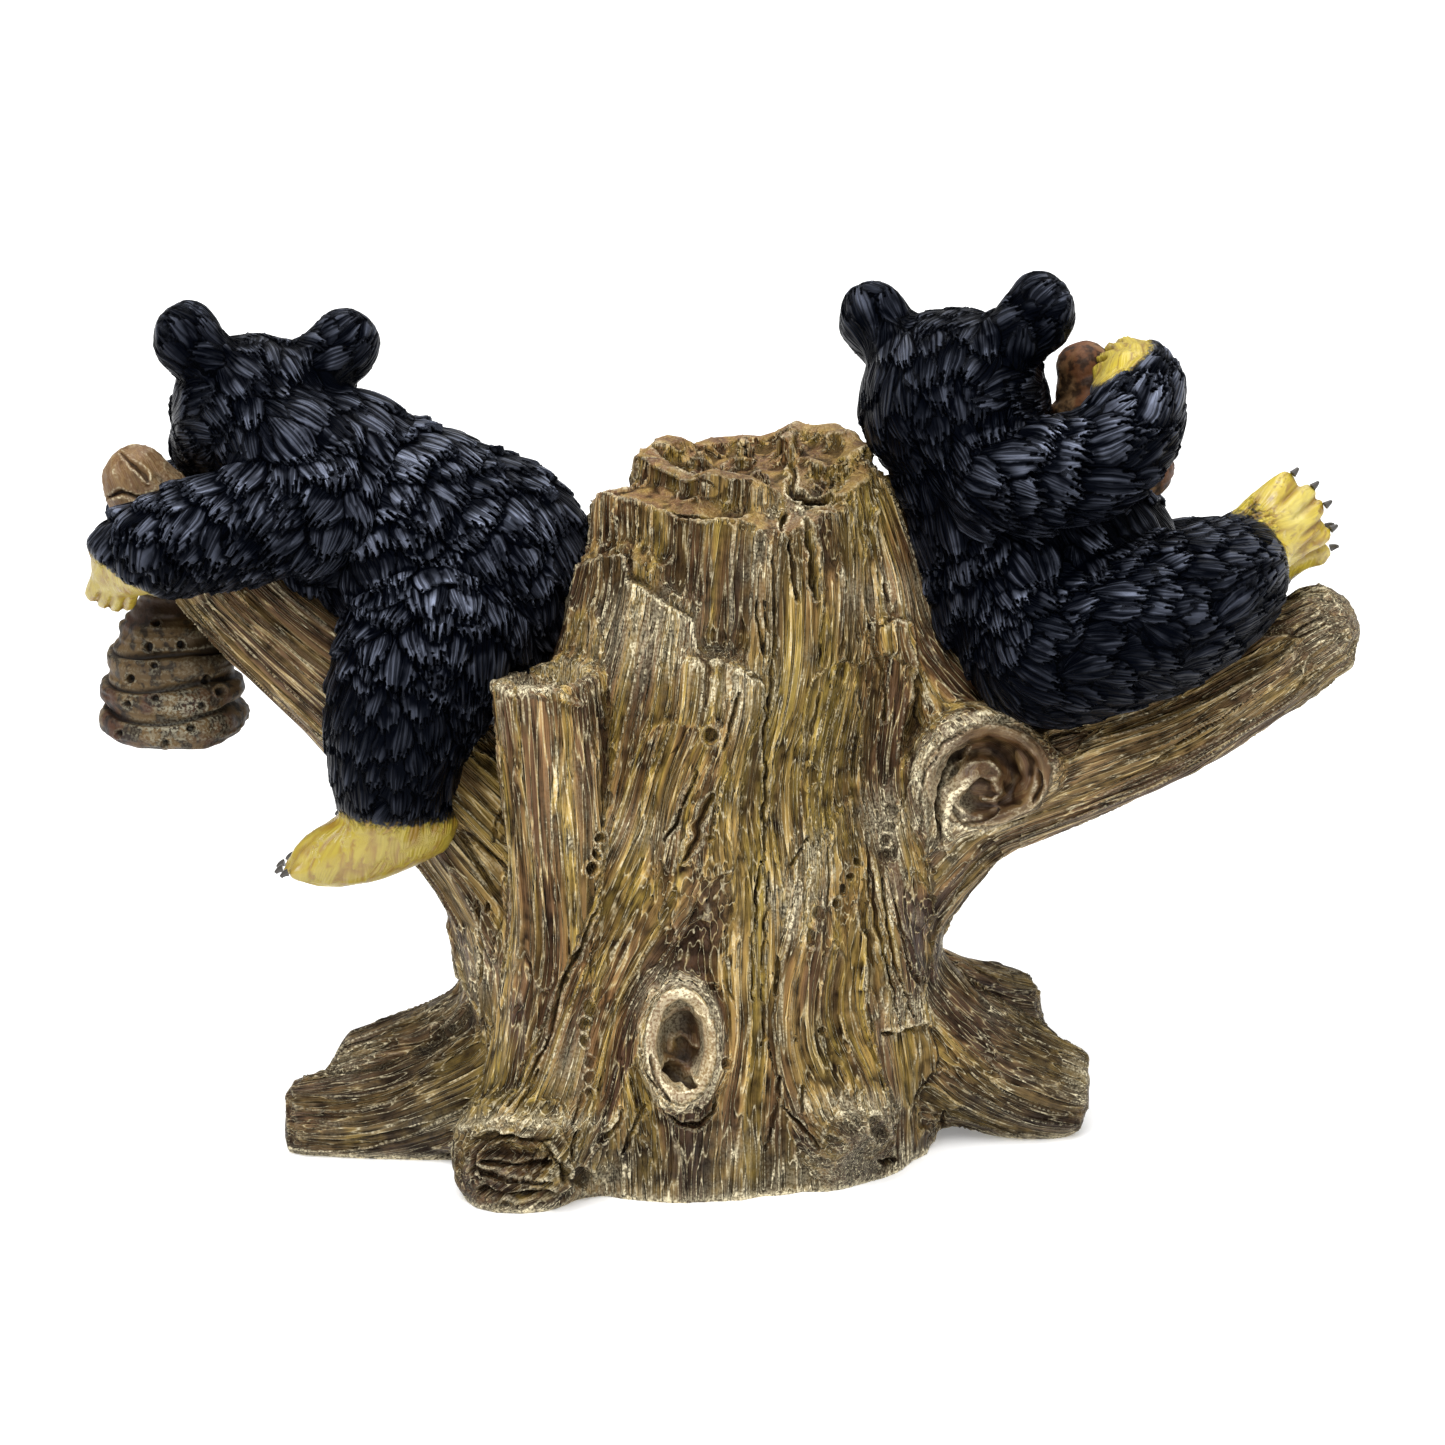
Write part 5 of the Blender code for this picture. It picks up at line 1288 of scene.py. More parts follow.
def dressStump(look):
    piece = addObject("tree_stump_wood", bareCopy("tree_stump"))
    fineSkin(piece, look["cell"], 4)
    mesh = piece.data
    places, normals = readPlaces(mesh), readNormals(mesh)
    print("stump skin", len(places), "points")
    shares, axes, bent, knotShare, knotSpots = strandsOf(places)
    spots = []
    for number, limb in enumerate(stumpLimbs):
        picks = np.nonzero(shares[number] > 0.03)[0]
        spots.append((picks, strandSpace(bent[picks], limb)))
    slab, grain, split = (
        3 * woodNoise(shares, spots, knotShare, knotSpots, cell, stretch, seed) for cell, stretch, seed in (
            (look["slabWidth"], 9, 41), (look["grainWidth"], 18, 42), (5.0, 10, 44),
        )
    )
    print("grain drawn")
    standing = step(0.4, 1.6, places[:, 2])  # the underside stays flat
    quiet = 1 - 0.35 * step(-5, 25, places[:, 1])  # plainer at the back
    crown = step(102, 120, places[:, 2]) * step(34, 28, np.hypot(places[:, 0] - 3, places[:, 1]))
    crack = bell(split, 0.14) * step(0.0, 0.7, lattice(places, 15.0, 46))
    crest = np.exp(-(np.abs(grain) / 0.34) ** 1.3)  # narrow raised lines with wider valleys between
    relief = (
        look["slabDepth"] * np.tanh(2.2 * slab)
        + look["grainDepth"] * (1 + 0.7 * crown) * (crest - 0.4)
        - look["crackDepth"] * crack
    )
    relief *= quiet * (1 - 0.86 * knotShare) * (1 - 0.7 * branchTip(places))
    # broken ends: where the surface lies across the grain it is pitted, not lined
    endOn = step(0.55, 0.9, np.abs((axes * normals).sum(1)))
    torn = lattice(places, 5.0, 45) + 0.35 * lattice(places, 1.8, 47)
    relief = relief * (1 - 0.75 * endOn) * (1 - 0.6 * endOn * crown) + look["tornDepth"] * endOn * torn
    carved, dark = carveFront(places, normals)
    moved = places + normals * ((relief * (1 - 0.8 * dark) + carved) * standing)[:, None]
    moved[:, 2] = np.maximum(moved[:, 2], 0)
    writePlaces(mesh, moved)
    # the crack value also carries the painted shade in the carvings
    thinned(piece, look["triangles"], {"crack": np.maximum(crack * 0.8, dark)})

    # the painted values are worked out on the finished mesh
    mesh = piece.data
    places = readPlaces(mesh)
    shares, axes, bent, knotShare, knotSpots = strandsOf(places)
    trunk = strandSpace(bent, stumpLimbs[0])
    others = shares[1:]
    first = others.argmax(0)
    top = others.max(0)
    second = np.sort(others, 0)[-2]
    limb = np.zeros_like(trunk)
    for number in range(len(others)):
        picks = np.nonzero(first == number)[0]
        if len(picks):
            limb[picks] = strandSpace(bent[picks], stumpLimbs[number + 1]) + 17.3 * number
    clear = step(0.0, 0.2, (top - second) / (top + second + 1e-6))
    share = step(0.4, 0.6, top / (top + shares[0] + 1e-6)) * clear
    limb = np.where((knotShare > 0.5)[:, None], knotSpots, limb)
    share = np.maximum(share, knotShare)
    rim = np.zeros(len(places), np.float32)
    for knot, inner, outer in zip(stumpKnots, (0.5, 0.9), (1.3, 1.3)):
        x, _, r, near, _ = knotSpace(places, knot)
        pale = step(1.0, 0.2, x) if knot is stumpKnots[1] else 1.0
        rim = np.maximum(rim, pale * near * step(inner, inner + 0.12, r) * step(outer, outer - 0.2, r))
    calm = np.maximum(0.85 * knotShare, 0.9 * branchTip(places))
    # the crown's broken top is smooth folds, its fibres closed over
    endOn = step(0.5, 0.8, np.abs((axes * readNormals(mesh)).sum(1)))
    calm = np.maximum(calm, 0.7 * endOn * step(112, 122, places[:, 2]))
    storeValues(mesh, "calm", calm)
    shrink = np.array((1, 1, 1 / 32), np.float32)  # the grain is drawn out along the limb
    storeValues(mesh, "trunkGrain", trunk * shrink)
    storeValues(mesh, "limbGrain", limb * shrink)
    storeValues(mesh, "limbShare", share)
    broad = lattice(places, 22.0, 51) + 0.4 * lattice(places, 7.0, 52)
    low = 0.5 * step(45, 5, places[:, 2])
    storeValues(mesh, "moss", np.clip(patchMask(places, "moss") + 0.6 * step(0.2, 1.0, broad + low), 0, 1))
    warm = lattice(places, 18.0, 53) + 0.4 * lattice(places, 6.0, 54)
    umber = np.clip(patchMask(places, "umber") + 0.6 * step(0.1, 0.9, warm), 0, 1)
    storeValues(mesh, "umber", umber)
    out = np.abs(places[:, 0])
    # darker colour low down, outwards on the limbs, in the umber patches and in the knots but not on their
    # rims
    soil = np.maximum(0.85 * step(26, 8, places[:, 2]), 0.75 * step(38, 52, out) * step(45, 25, places[:, 2]))
    soil = np.maximum(soil, np.maximum(0.3 * step(34, 50, out), 0.5 * umber))
    soil = np.maximum(soil, 0.7 * knotShare) * (1 - 0.6 * rim)
    storeValues(mesh, "soil", np.clip(soil * (1 + 0.3 * lattice(places, 8.0, 57)), 0, 1))
    dusty = np.maximum(patchMask(places, "dust") + 0.5 * step(0.2, 0.9, lattice(places, 14.0, 55)), rim)
    dusty = np.maximum(dusty, step(2.2, 0.8, places[:, 2]) * 0.8)  # the foot's rim is rubbed pale
    storeValues(mesh, "dusty", np.clip(dusty, 0, 1))
    storeValues(mesh, "weathered", step(36, 56, out) * (0.75 + 0.25 * lattice(places, 12.0, 56)))
    edge, hollow = convexity(mesh, (3, 26))
    storeValues(mesh, "edge", edge)
    storeValues(mesh, "hollow", hollow)
    finishPiece(piece, stumpPaint(look), "tree_stump")
    print("stump done", len(mesh.polygons), "triangles")


def stumpPaint(look):
    # Cast polyresin wood: tan ground streaked along the grain with brown stain and yellow-green glaze,
    # near-black wash in the valleys and cracks, and painted shade in the hollows; chalky white dry-brushed on
    # every raised line.
    material, tree, shader = newPaint("washedDryBrushedResin")
    read = {
        name: addNode(tree, "ShaderNodeAttribute", {"attribute_name": name}).outputs["Fac"]
        for name in (
            "limbShare", "moss", "umber", "dusty", "crack", "edge", "hollow", "calm", "weathered", "soil",
        )
    }
    here = addNode(tree, "ShaderNodeTexCoord").outputs["Object"]
    grains = [
        addNode(tree, "ShaderNodeAttribute", {"attribute_name": name}).outputs["Vector"]
        for name in ("trunkGrain", "limbGrain")
    ]
    # every pattern is drawn along the trunk and along the limb, and goes over from one to the other
    strand = {}
    for label in ("band", "line", "fibre"):
        scale = 1 / look[label + "Width"]
        both = [
            addNode(tree, "ShaderNodeTexNoise", None, {"Vector": grain, "Scale": scale, "Detail": 0.0})
            for grain in grains
        ]
        blended = addNode(tree, "ShaderNodeMix", {"data_type": "RGBA"}, {
            "Factor": read["limbShare"], "A": both[0].outputs["Color"], "B": both[1].outputs["Color"],
        })
        strand[label] = addNode(tree, "ShaderNodeSeparateColor", None, {"Color": blended}).outputs
    # long reeds, each rounded, with a narrow valley along its border
    borders = [
        addNode(tree, "ShaderNodeTexVoronoi", {"feature": "DISTANCE_TO_EDGE"}, {
            "Vector": grain, "Scale": 1 / look["reedWidth"],
        })
        for grain in grains
    ]
    apart = addNode(tree, "ShaderNodeMix", {"data_type": "FLOAT"}, {
        "Factor": read["limbShare"], "A": borders[0], "B": borders[1],
    })
    mottle, speckle = (
        addNode(tree, "ShaderNodeTexNoise", None, {"Vector": here, "Scale": perMm(size), "Detail": detail})
        for size, detail in ((3.0, 5.0), (0.5, 4.0))
    )

    # sharp raised lines with rounded valleys between them: 1 on a line, 0 in a valley
    ridges = {}
    for label, reach in (("line", 0.13), ("fibre", 0.16)):
        middle = addNode(tree, "ShaderNodeMath", {"operation": "SUBTRACT"}, {0: strand[label]["Red"], 1: 0.5})
        away = addNode(tree, "ShaderNodeMath", {"operation": "ABSOLUTE"}, {0: middle})
        sharp = addNode(tree, "ShaderNodeMapRange", None, {
            "Value": away, "From Min": 0.0, "From Max": reach, "To Min": 1.0, "To Max": 0.0,
        })
        ridges[label] = addNode(tree, "ShaderNodeMix", {"data_type": "FLOAT"}, {
            "Factor": read["calm"], "A": sharp, "B": 0.55,
        })

    # brown stain lies in streaks, more of them in the umber patches
    streaky = addNode(tree, "ShaderNodeMath", {"operation": "MULTIPLY_ADD"}, {
        0: read["umber"], 1: 0.2, 2: strand["band"]["Green"],
    })
    pressure = addNode(tree, "ShaderNodeMath", {"operation": "MULTIPLY_ADD"}, {
        0: read["dusty"], 1: 0.8, 2: mottle,
    })
    # Each mask goes from its first to its second value while what it reads goes from start to end.
    # The wash settles in the valleys between lines and in cracks, and is deepened into painted shade in the
    # concave places and hollows. The dry brush catches the tops of the lines and whatever stands proud.
    masks = {}
    for label, way, value, start, end, first, second in (
        ("stain", "SMOOTHSTEP", streaky, 0.56, 0.76, 0.0, 0.75),
        ("paler", "SMOOTHSTEP", ridges["line"], 0.4, 0.95, 0.0, 0.6),
        ("settle", "SMOOTHSTEP", ridges["line"], 0.5, 0.0, 0.0, 0.5),
        ("valley", "SMOOTHSTEP", apart, 0.2, 0.03, 0.0, 0.97),
        ("low", "SMOOTHSTEP", read["edge"], 0.0, -0.18, 0.0, 1.0),
        ("hollow", "SMOOTHSTEP", read["hollow"], -0.3, -2.0, 0.0, 0.92),
        ("uneven", "LINEAR", mottle, 0.32, 0.68, 0.55, 1.0),
        ("cracked", "LINEAR", read["crack"], 0.0, 1.0, 0.0, 0.96),
        ("crest", "SMOOTHSTEP", ridges["line"], 0.7, 0.97, 0.0, 1.0),
        ("proud", "SMOOTHSTEP", read["edge"], 0.06, 0.38, 0.0, 1.0),
        ("drag", "SMOOTHSTEP", speckle, 0.4, 0.58, 0.2, 1.0),
        ("where", "SMOOTHSTEP", pressure, 0.35, 0.9, 0.35, 1.0),
        ("rounded", "SMOOTHSTEP", apart, 0.0, 0.28, 0.0, 1.0),
        ("gloss", "LINEAR", mottle, 0.0, 1.0, 0.34, 0.6),
    ):
        masks[label] = addNode(tree, "ShaderNodeMapRange", {"interpolation_type": way}, {
            "Value": value, "From Min": start, "From Max": end, "To Min": first, "To Max": second,
        })
    sums = {}
    for label, operation, first, second in (
        ("grey", "MULTIPLY", read["weathered"], 0.7),
        ("mossy", "MULTIPLY", read["moss"], 0.7),
        ("inner", "MULTIPLY", read["calm"], 0.8),
        ("lively", "SUBTRACT", 1.0, read["calm"]),
        ("whole", "SUBTRACT", 1.0, masks["cracked"]),
        ("zoneDarkening", "MULTIPLY", read["soil"], masks["uneven"]),
        ("raised", "MAXIMUM", masks["crest"], masks["proud"]),
    ):
        sums[label] = addNode(tree, "ShaderNodeMath", {"operation": operation}, {0: first, 1: second})
    # wash in the valleys, with painted shade in the concave places, the hollows and the cracks
    washedAndShaded = addNode(tree, "ShaderNodeMath", {"operation": "MULTIPLY"}, {
        0: masks["valley"], 1: sums["lively"],
    })
    for operation, other in (
        ("MAXIMUM", masks["settle"]), ("MAXIMUM", masks["low"]), ("MAXIMUM", masks["hollow"]),
        ("MULTIPLY", masks["uneven"]), ("MAXIMUM", masks["cracked"]),
    ):
        washedAndShaded = addNode(tree, "ShaderNodeMath", {"operation": operation}, {0: washedAndShaded, 1: other})
    chalk = addNode(tree, "ShaderNodeMath", {"operation": "MULTIPLY_ADD"}, {
        0: read["dusty"], 1: 0.45, 2: sums["raised"],
    })
    for factor in (masks["drag"], masks["where"], sums["whole"]):
        chalk = addNode(tree, "ShaderNodeMath", {"operation": "MULTIPLY"}, {0: chalk, 1: factor})

    colour = addNode(tree, "ShaderNodeValToRGB", {"stops": [
        (0.32, toLinear(look["umber"])), (0.42, toLinear(look["brown"])), (0.5, toLinear(look["tan"])),
        (0.58, toLinear(look["ochre"])), (0.7, toLinear(look["brown"])),
    ]}, {"Fac": strand["band"]["Red"]})
    # heart is smooth bare wood inside the knots and on the branch's tip, straw the rubbed lines
    for amount, coat in (
        (sums["grey"], "weathered"), (sums["mossy"], "moss"), (masks["stain"], "umber"),
        (sums["inner"], "heart"), (masks["paler"], "straw"), (sums["zoneDarkening"], "soil"), (washedAndShaded, "washAndShade"),
        (chalk, "dust"),
    ):
        colour = addNode(tree, "ShaderNodeMix", {"data_type": "RGBA"}, {
            "Factor": amount, "A": colour, "B": toLinear(look[coat]),
        })
    bump = None
    for height, strength, distance in (
        (masks["rounded"], sums["lively"], 0.4), (ridges["line"], 0.9, 0.4), (ridges["fibre"], 0.7, 0.18),
        (speckle, 0.5, 0.14),
    ):
        under = {"Normal": bump} if bump else {}
        bump = addNode(tree, "ShaderNodeBump", None, {
            "Height": height, "Strength": strength, "Distance": distance * mm, **under,
        })
    # the wash dries matt, the glaze over the lines stays satin
    satin = addNode(tree, "ShaderNodeMapRange", None, {"Value": washedAndShaded, "To Min": 0.4, "To Max": 0.06})
    tree.links.new(colour.outputs["Result"], shader.inputs["Base Color"])
    tree.links.new(masks["gloss"].outputs[0], shader.inputs["Roughness"])
    tree.links.new(satin.outputs[0], shader.inputs["Specular IOR Level"])
    tree.links.new(bump.outputs["Normal"], shader.inputs["Normal"])
    shader.inputs["IOR"].default_value = 1.5
    return material


print("wood on the stump")
dressStump(stumpLook)

hiveLooks = {
    "hanging_hive": {
        "width": 28.2,
        "height": 28.0,
        "coils": 5,
        "rope": 3.5,  # radius of the straw rope
        "top": (-102.7, 5.0, 108.0),
        "lean": 0.0,
        "cell": 0.34,
        "triangles": 60000,
        "straw": "#5e4a2d",
        "pale": "#8f8a76",
        "brown": "#42291a",
        "washAndShade": "#0e0805",
        "ragged": 0.75,
        # bee holes in the picture's plane: across, up, radius and depth
        "holes": [
            (-104.0, 18.3, 0.75, 1.2), (-105.4, 13.9, 0.8, 1.3), (-99.4, 14.3, 0.7, 1.0),
            (-104.5, 10.7, 0.7, 1.1), (-108.7, 8.0, 0.75, 1.4), (-94.6, 8.0, 0.8, 1.3),
            (-104.1, 4.5, 0.75, 1.4), (-109.3, 3.4, 0.7, 1.2), (-95.5, 3.0, 0.75, 1.3),
            (-91.9, 5.8, 1.0, 1.4), (-110.9, -2.1, 0.65, 1.2), (-97.5, -1.0, 0.85, 1.4),
            (-102.3, -3.9, 0.7, 1.1),
        ],
        "farHoles": 16,
        # in the picture's plane: across, up, half width, half height and strength
        "grey": [(-98.8, 2.7, 6, 4.5, 1.0), (-101.6, -1.7, 8, 3, 0.9), (-93.5, -0.5, 4, 5, 0.7)],
        # the sooty patches are painted shadow near the top, under the branch, and on the right
        "sooty": [(-93.3, 13.7, 7, 6, 0.9), (-103.2, 20.3, 8, 4, 0.8), (-105, 10, 5, 3, 0.4)],
    },
    "held_hive": {
        "width": 21.5,
        "height": 30.0,
        "coils": 4,
        "rope": 4.4,
        "top": (65.0, 7.5, 152.4),
        "lean": -18.0,
        "cell": 0.34,
        "triangles": 40000,
        "straw": "#8a6a48",
        "pale": "#b79b78",
        "brown": "#6a4226",
        "washAndShade": "#20120a",
        "ragged": 0.2,
        "holes": [],
        "farHoles": 9,
        "grey": [],
        "sooty": [],
    },
}


def hiveNodes(material):
    # a straw skep: one ring of rope for each coil, wider towards the bottom as a dome
    sockets = {"Width": "Float", "Height": "Float", "Coils": "Int", "Rope": "Float"}
    tree, given, keys = growNodes("ropeCoils", sockets)
    row = addNode(tree, "GeometryNodeMeshLine", None, {"Count": given["Coils"], "Offset": (0, 0, 0)})
    # each sum reads earlier sums, the tree's own inputs or numbers
    sums = {name: given[name] for name in sockets}
    sums["index"] = addNode(tree, "GeometryNodeInputIndex")
    for name, operation, first, second in (
        ("later", "ADD", "index", 0.85),
        ("share", "DIVIDE", "later", "Coils"),
        ("angle", "MULTIPLY", "share", math.pi / 2 * 1.05),
        ("capped", "MINIMUM", "angle", math.pi / 2),
        ("dome", "SINE", "capped", 0.0),
        ("domed", "POWER", "dome", 0.7),
        ("half", "MULTIPLY", "Width", 0.5),
        ("outer", "MULTIPLY", "domed", "half"),
        ("radius", "SUBTRACT", "outer", "Rope"),
        ("safe", "MAXIMUM", "radius", 0.6 * mm),
        ("middle", "ADD", "index", 0.5),
        ("dropped", "DIVIDE", "middle", "Coils"),
        ("fall", "MULTIPLY", "dropped", "Height"),
        ("down", "MULTIPLY", "fall", -1.0),
    ):
        sums[name] = addNode(tree, "ShaderNodeMath", {"operation": operation}, {
            0: sums[first], 1: sums.get(second, second),
        })
    spot = addNode(tree, "ShaderNodeCombineXYZ", None, {"Z": sums["down"]})
    hung = addNode(tree, "GeometryNodeSetPosition", None, {"Geometry": row, "Position": spot})
    ring, section = (
        addNode(tree, "GeometryNodeCurvePrimitiveCircle", {"mode": "RADIUS"}, {
            "Resolution": resolution, "Radius": radius,
        })
        for resolution, radius in ((64, 1.0), (16, given["Rope"]))
    )
    wide = addNode(tree, "ShaderNodeCombineXYZ", None, {"X": sums["safe"], "Y": sums["safe"], "Z": 1.0})
    rings = addNode(tree, "GeometryNodeInstanceOnPoints", None, {
        "Points": hung, "Instance": ring, "Scale": wide,
    })
    real = addNode(tree, "GeometryNodeRealizeInstances", None, {"Geometry": rings})
    rope = addNode(tree, "GeometryNodeCurveToMesh", None, {"Curve": real, "Profile Curve": section})
    both = addNode(tree, "GeometryNodeJoinGeometry")
    tree.links.new(rope.outputs[0], both.inputs[0])
    tree.links.new(given["Geometry"], both.inputs[0])
    endNodes(tree, both, material)
    return tree, keys


def hiveCore(look):
    # the solid body inside the rope
    form = bmesh.new()
    rows = []
    width, height = look["width"] * mm, look["height"] * mm
    profile = [
        (0.02, 0.25), (0.12, 0.45), (0.3, 0.66), (0.5, 0.8), (0.7, 0.9), (0.86, 0.92), (0.97, 0.84),
        (1.0, 0.72),
    ]
    for down, wide in profile:
        rows.append([
            form.verts.new((width / 2 * wide * math.cos(a), width / 2 * wide * math.sin(a), -down * height))
            for a in np.arange(32) * math.pi / 16
        ])
    for low, high in zip(rows[1:], rows):
        for i in range(32):
            form.faces.new((low[i], low[(i + 1) % 32], high[(i + 1) % 32], high[i]))
    form.faces.new(rows[0])
    form.faces.new(reversed(rows[-1]))
    bmesh.ops.recalc_face_normals(form, faces=form.faces)
    mesh = bpy.data.meshes.new("hiveCore")
    form.to_mesh(mesh)
    form.free()
    return mesh


def dressHive(nodeName, look):
    material = hivePaint(nodeName + "Straw", look)
    piece = addObject(nodeName + "_straw", hiveCore(look))
    tree, keys = hiveNodes(material)
    runNodes(piece, tree, keys, {
        "Width": look["width"] * mm, "Height": look["height"] * mm, "Coils": look["coils"],
        "Rope": look["rope"] * mm,
    })
    fineSkin(piece, look["cell"], 2)
    mesh = piece.data
    # the skin is still upright with its top at zero
    local, normals = (readPlaces(mesh) + drawingOrigin), readNormals(mesh)
    around = np.arctan2(local[:, 1], local[:, 0])
    out = np.hypot(local[:, 0], local[:, 1])
    lean = math.radians(look["lean"])
    turn = np.array((
        (math.cos(lean), 0, math.sin(lean)), (0, 1, 0), (-math.sin(lean), 0, math.cos(lean)),
    ), np.float32)
    places = local @ turn.T + np.array(look["top"], np.float32)
    normals = normals @ turn.T
    coil = look["height"] / look["coils"]
    wobble = 0.12 * coil * np.sin(around * 2 + local[:, 2] / coil)
    fromSeam = ((-local[:, 2] + wobble) / coil + 0.5) % 1 - 0.5  # in coils
    seam = bell(fromSeam, 0.075) * step(0.5, 0.75, out / (look["width"] / 2))
    seam *= step(look["height"] * 0.99, look["height"] * 0.93, -local[:, 2])
    wrapped = np.stack((12 * np.cos(around), 12 * np.sin(around), local[:, 2] * 9), 1)
    straw = lattice(wrapped.astype(np.float32), 6.0, 72)
    lumps = lattice(places, 6.0, 71) + 0.5 * lattice(places, 2.4, 73)
    moved = look["ragged"] * 0.6 * lumps + look["ragged"] * 0.3 * straw - (0.65 + 0.5 * look["ragged"]) * seam
    hole = np.zeros(len(places), np.float32)
    spots = pictureSpots(places)
    front = step(0.05, 0.3, -normals[:, 1])
    for across, up, radius, depth in look["holes"]:
        r = np.hypot(spots[:, 0] - across, spots[:, 1] - up) / radius
        moved += front * (0.28 * bell(r - 1.35, 0.25) - depth * step(1.1, 0.75, r))
        hole = np.maximum(hole, front * step(1.2, 0.8, r))
    rng = np.random.default_rng(7)
    for number in range(look["farHoles"]):
        angle = math.radians(10 + 160 * rng.random()) if look["holes"] else math.tau * rng.random()
        level = -coil * (math.floor(look["coils"] * rng.random()) + 0.5)
        apart = np.hypot(np.angle(np.exp(1j * (around - angle))) * out, local[:, 2] - level)
        away = apart / (0.65 + 0.35 * rng.random())
        moved += 0.25 * bell(away - 1.35, 0.25) - 1.2 * step(1.1, 0.75, away)
        hole = np.maximum(hole, step(1.2, 0.8, away))
    writePlaces(mesh, places + normals * moved[:, None])
    thinned(piece, look["triangles"], {"hole": hole, "seam": seam})
    spots = pictureSpots(readPlaces(piece.data))
    for name in ("grey", "sooty"):
        storeValues(piece.data, name, softPatches(spots, look[name]))
    edge, hollow = convexity(piece.data, (4, 20))
    storeValues(piece.data, "edge", edge)
    storeValues(piece.data, "hollow", hollow)
    finishPiece(piece, material, nodeName)
    print(nodeName, "done", len(piece.data.polygons), "triangles")


def hivePaint(name, look):
    # Resin cast as coiled straw: warm brown ground, near-black wash between the coils and in the bee
    # holes that is partly painted shade, painted shade in the hollows, dark patches of painted shadow, and
    # grey-white dry brush in patches on what stands proud.
    material, tree, shader = newPaint(name)
    read = {
        label: addNode(tree, "ShaderNodeAttribute", {"attribute_name": label}).outputs["Fac"]
        for label in ("hole", "seam", "edge", "hollow", "grey", "sooty")
    }
    here = addNode(tree, "ShaderNodeTexCoord").outputs["Object"]
    clouds, mottle, speckle = (
        addNode(tree, "ShaderNodeTexNoise", None, {"Vector": here, "Scale": perMm(size), "Detail": detail})
        for size, detail in ((9, 3.0), (2.2, 5.0), (0.5, 4.0))
    )
    # each mask goes from its first to its second value while what it reads goes from start to end
    masks = {}
    for label, value, start, end, first, second in (
        ("shade", clouds, 0.4, 0.56, 0.0, 1.0),
        ("pitted", mottle, 0.56, 0.4, 0.0, 0.85),
        ("deep", read["hollow"], 0.0, -0.7, 0.0, 0.95),
        ("proud", read["edge"], -0.02, 0.16, 0.0, 1.0),
        ("drag", speckle, 0.42, 0.6, 0.0, 1.0),
        ("where", clouds, 0.45, 0.62, 0.1, 0.5),
    ):
        masks[label] = addNode(tree, "ShaderNodeMapRange", {"interpolation_type": "SMOOTHSTEP"}, {
            "Value": value, "From Min": start, "From Max": end, "To Min": first, "To Max": second,
        })
    # painted shadow patches, then wash in the pits, with painted shade in the hollows, bee holes and between
    # the coils
    washAndShade = addNode(tree, "ShaderNodeMath", {"operation": "MULTIPLY"}, {0: read["sooty"], 1: 0.95})
    for other in (masks["pitted"], masks["deep"], read["hole"], read["seam"]):
        washAndShade = addNode(tree, "ShaderNodeMath", {"operation": "MAXIMUM"}, {0: washAndShade, 1: other})
    broad = addNode(tree, "ShaderNodeMath", {"operation": "MULTIPLY_ADD"}, {
        0: read["grey"], 1: 0.6, 2: masks["proud"],
    })
    chalky = addNode(tree, "ShaderNodeMath", {"operation": "MULTIPLY", "use_clamp": True}, {
        0: broad, 1: masks["drag"],
    })
    rubbed = addNode(tree, "ShaderNodeMath", {"operation": "MAXIMUM"}, {0: masks["where"], 1: read["grey"]})
    chalk = addNode(tree, "ShaderNodeMath", {"operation": "MULTIPLY"}, {0: chalky, 1: rubbed})
    colour = toLinear(look["brown"])
    for amount, coat in ((masks["shade"], "straw"), (washAndShade, "washAndShade"), (chalk, "pale")):
        colour = addNode(tree, "ShaderNodeMix", {"data_type": "RGBA"}, {
            "Factor": amount, "A": colour, "B": toLinear(look[coat]),
        })
    rough = addNode(tree, "ShaderNodeBump", None, {"Height": mottle, "Strength": 0.7, "Distance": 0.5 * mm})
    bump = addNode(tree, "ShaderNodeBump", None, {
        "Height": speckle, "Strength": 0.35, "Distance": 0.12 * mm, "Normal": rough,
    })
    tree.links.new(colour.outputs["Result"], shader.inputs["Base Color"])
    tree.links.new(bump.outputs["Normal"], shader.inputs["Normal"])
    shader.inputs["Roughness"].default_value = 0.55
    shader.inputs["Specular IOR Level"].default_value = 0.25
    return material


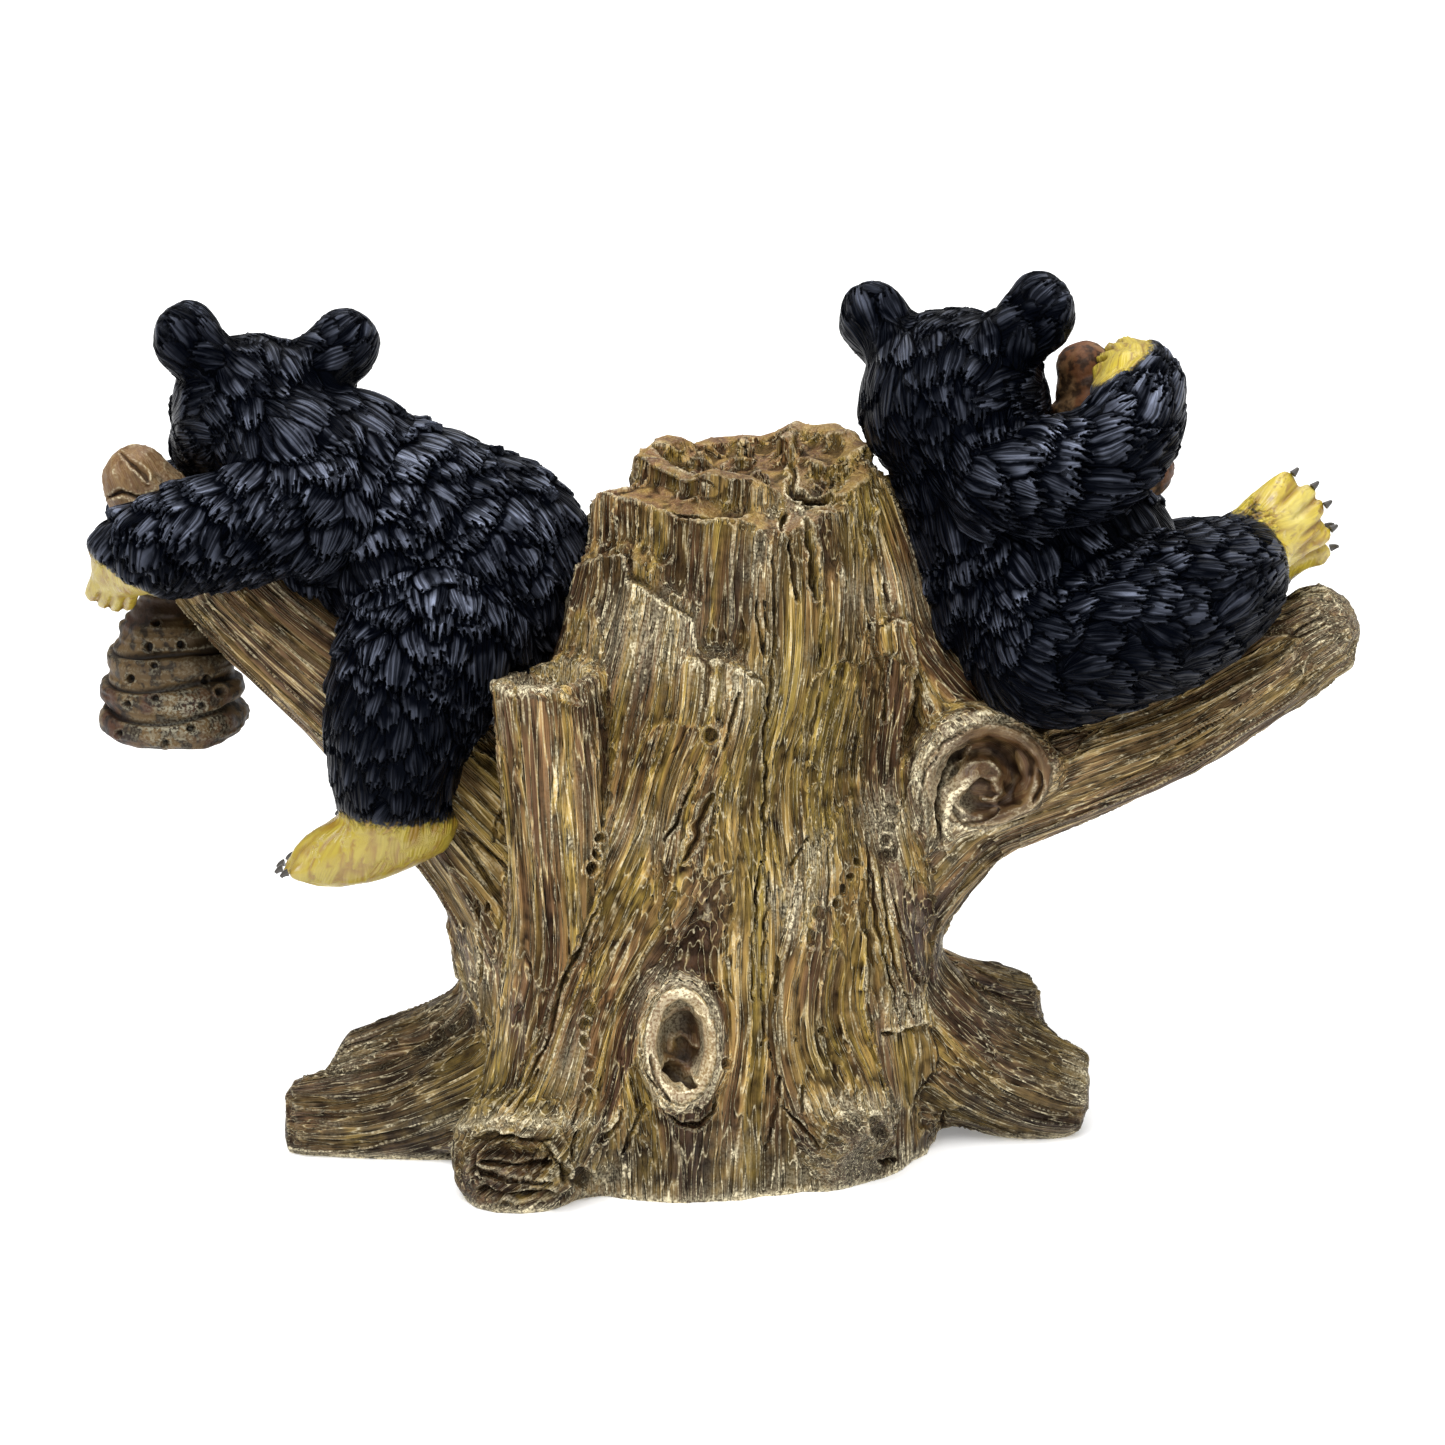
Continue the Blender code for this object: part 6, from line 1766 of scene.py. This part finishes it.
print("hives")
for name, look in hiveLooks.items():
    dressHive(name, look)


def buildStudio(look):
    aim = Vector(np.array(look["aim"]) + drawingOrigin) * mm
    lift = math.radians(look["elevation"])
    camera = bpy.data.cameras.new("camera")
    camera.lens = look["lens"]
    camera.sensor_width = 36.0
    camera.clip_start, camera.clip_end = 0.01, 50.0
    holder = bpy.data.objects.new("camera", camera)
    bpy.context.scene.collection.objects.link(holder)
    back = Vector((0, -math.cos(lift), math.sin(lift)))
    holder.location = aim + back * look["distance"] * mm
    holder.rotation_euler = back.to_track_quat("Z", "Y").to_euler()
    bpy.context.scene.camera = holder

    floor = bpy.data.meshes.new("floor")
    reach = 6.0  # metres
    corners = [(-reach, -reach, 0), (reach, -reach, 0), (reach, reach, 0), (-reach, reach, 0)]
    floor.from_pydata(corners, [], [(0, 1, 2, 3)])
    sheet = addObject("floor", floor)
    # matt white paper that glows a little
    paper, _, surface = newPaint("whitePaper")
    surface.inputs["Base Color"].default_value = toLinear(look["paper"])
    surface.inputs["Roughness"].default_value = 0.9
    surface.inputs["Emission Color"].default_value = (1, 1, 1, 1)
    surface.inputs["Emission Strength"].default_value = look["glow"]
    floor.materials.append(paper)

    world = bpy.data.worlds.new("studio")
    bpy.context.scene.world = world
    world.use_nodes = True
    sky = world.node_tree.nodes["Background"]
    sky.inputs["Color"].default_value = (1, 1, 1, 1)
    sky.inputs["Strength"].default_value = look["sky"]
    for number, (compass, height, strength, softness) in enumerate(look["suns"]):
        lamp = bpy.data.lights.new("softLight" + str(number), "SUN")
        lamp.energy = strength
        lamp.angle = math.radians(softness)
        stand = bpy.data.objects.new(lamp.name, lamp)
        bpy.context.scene.collection.objects.link(stand)
        flat, rise = math.radians(compass), math.radians(height)
        place = Vector((math.sin(flat) * math.cos(rise), -math.cos(flat) * math.cos(rise), math.sin(rise)))
        stand.location = place * 2
        stand.rotation_euler = place.to_track_quat("Z", "Y").to_euler()
    bpy.context.scene.view_settings.view_transform = "Standard"


print("studio")
buildStudio(studio)
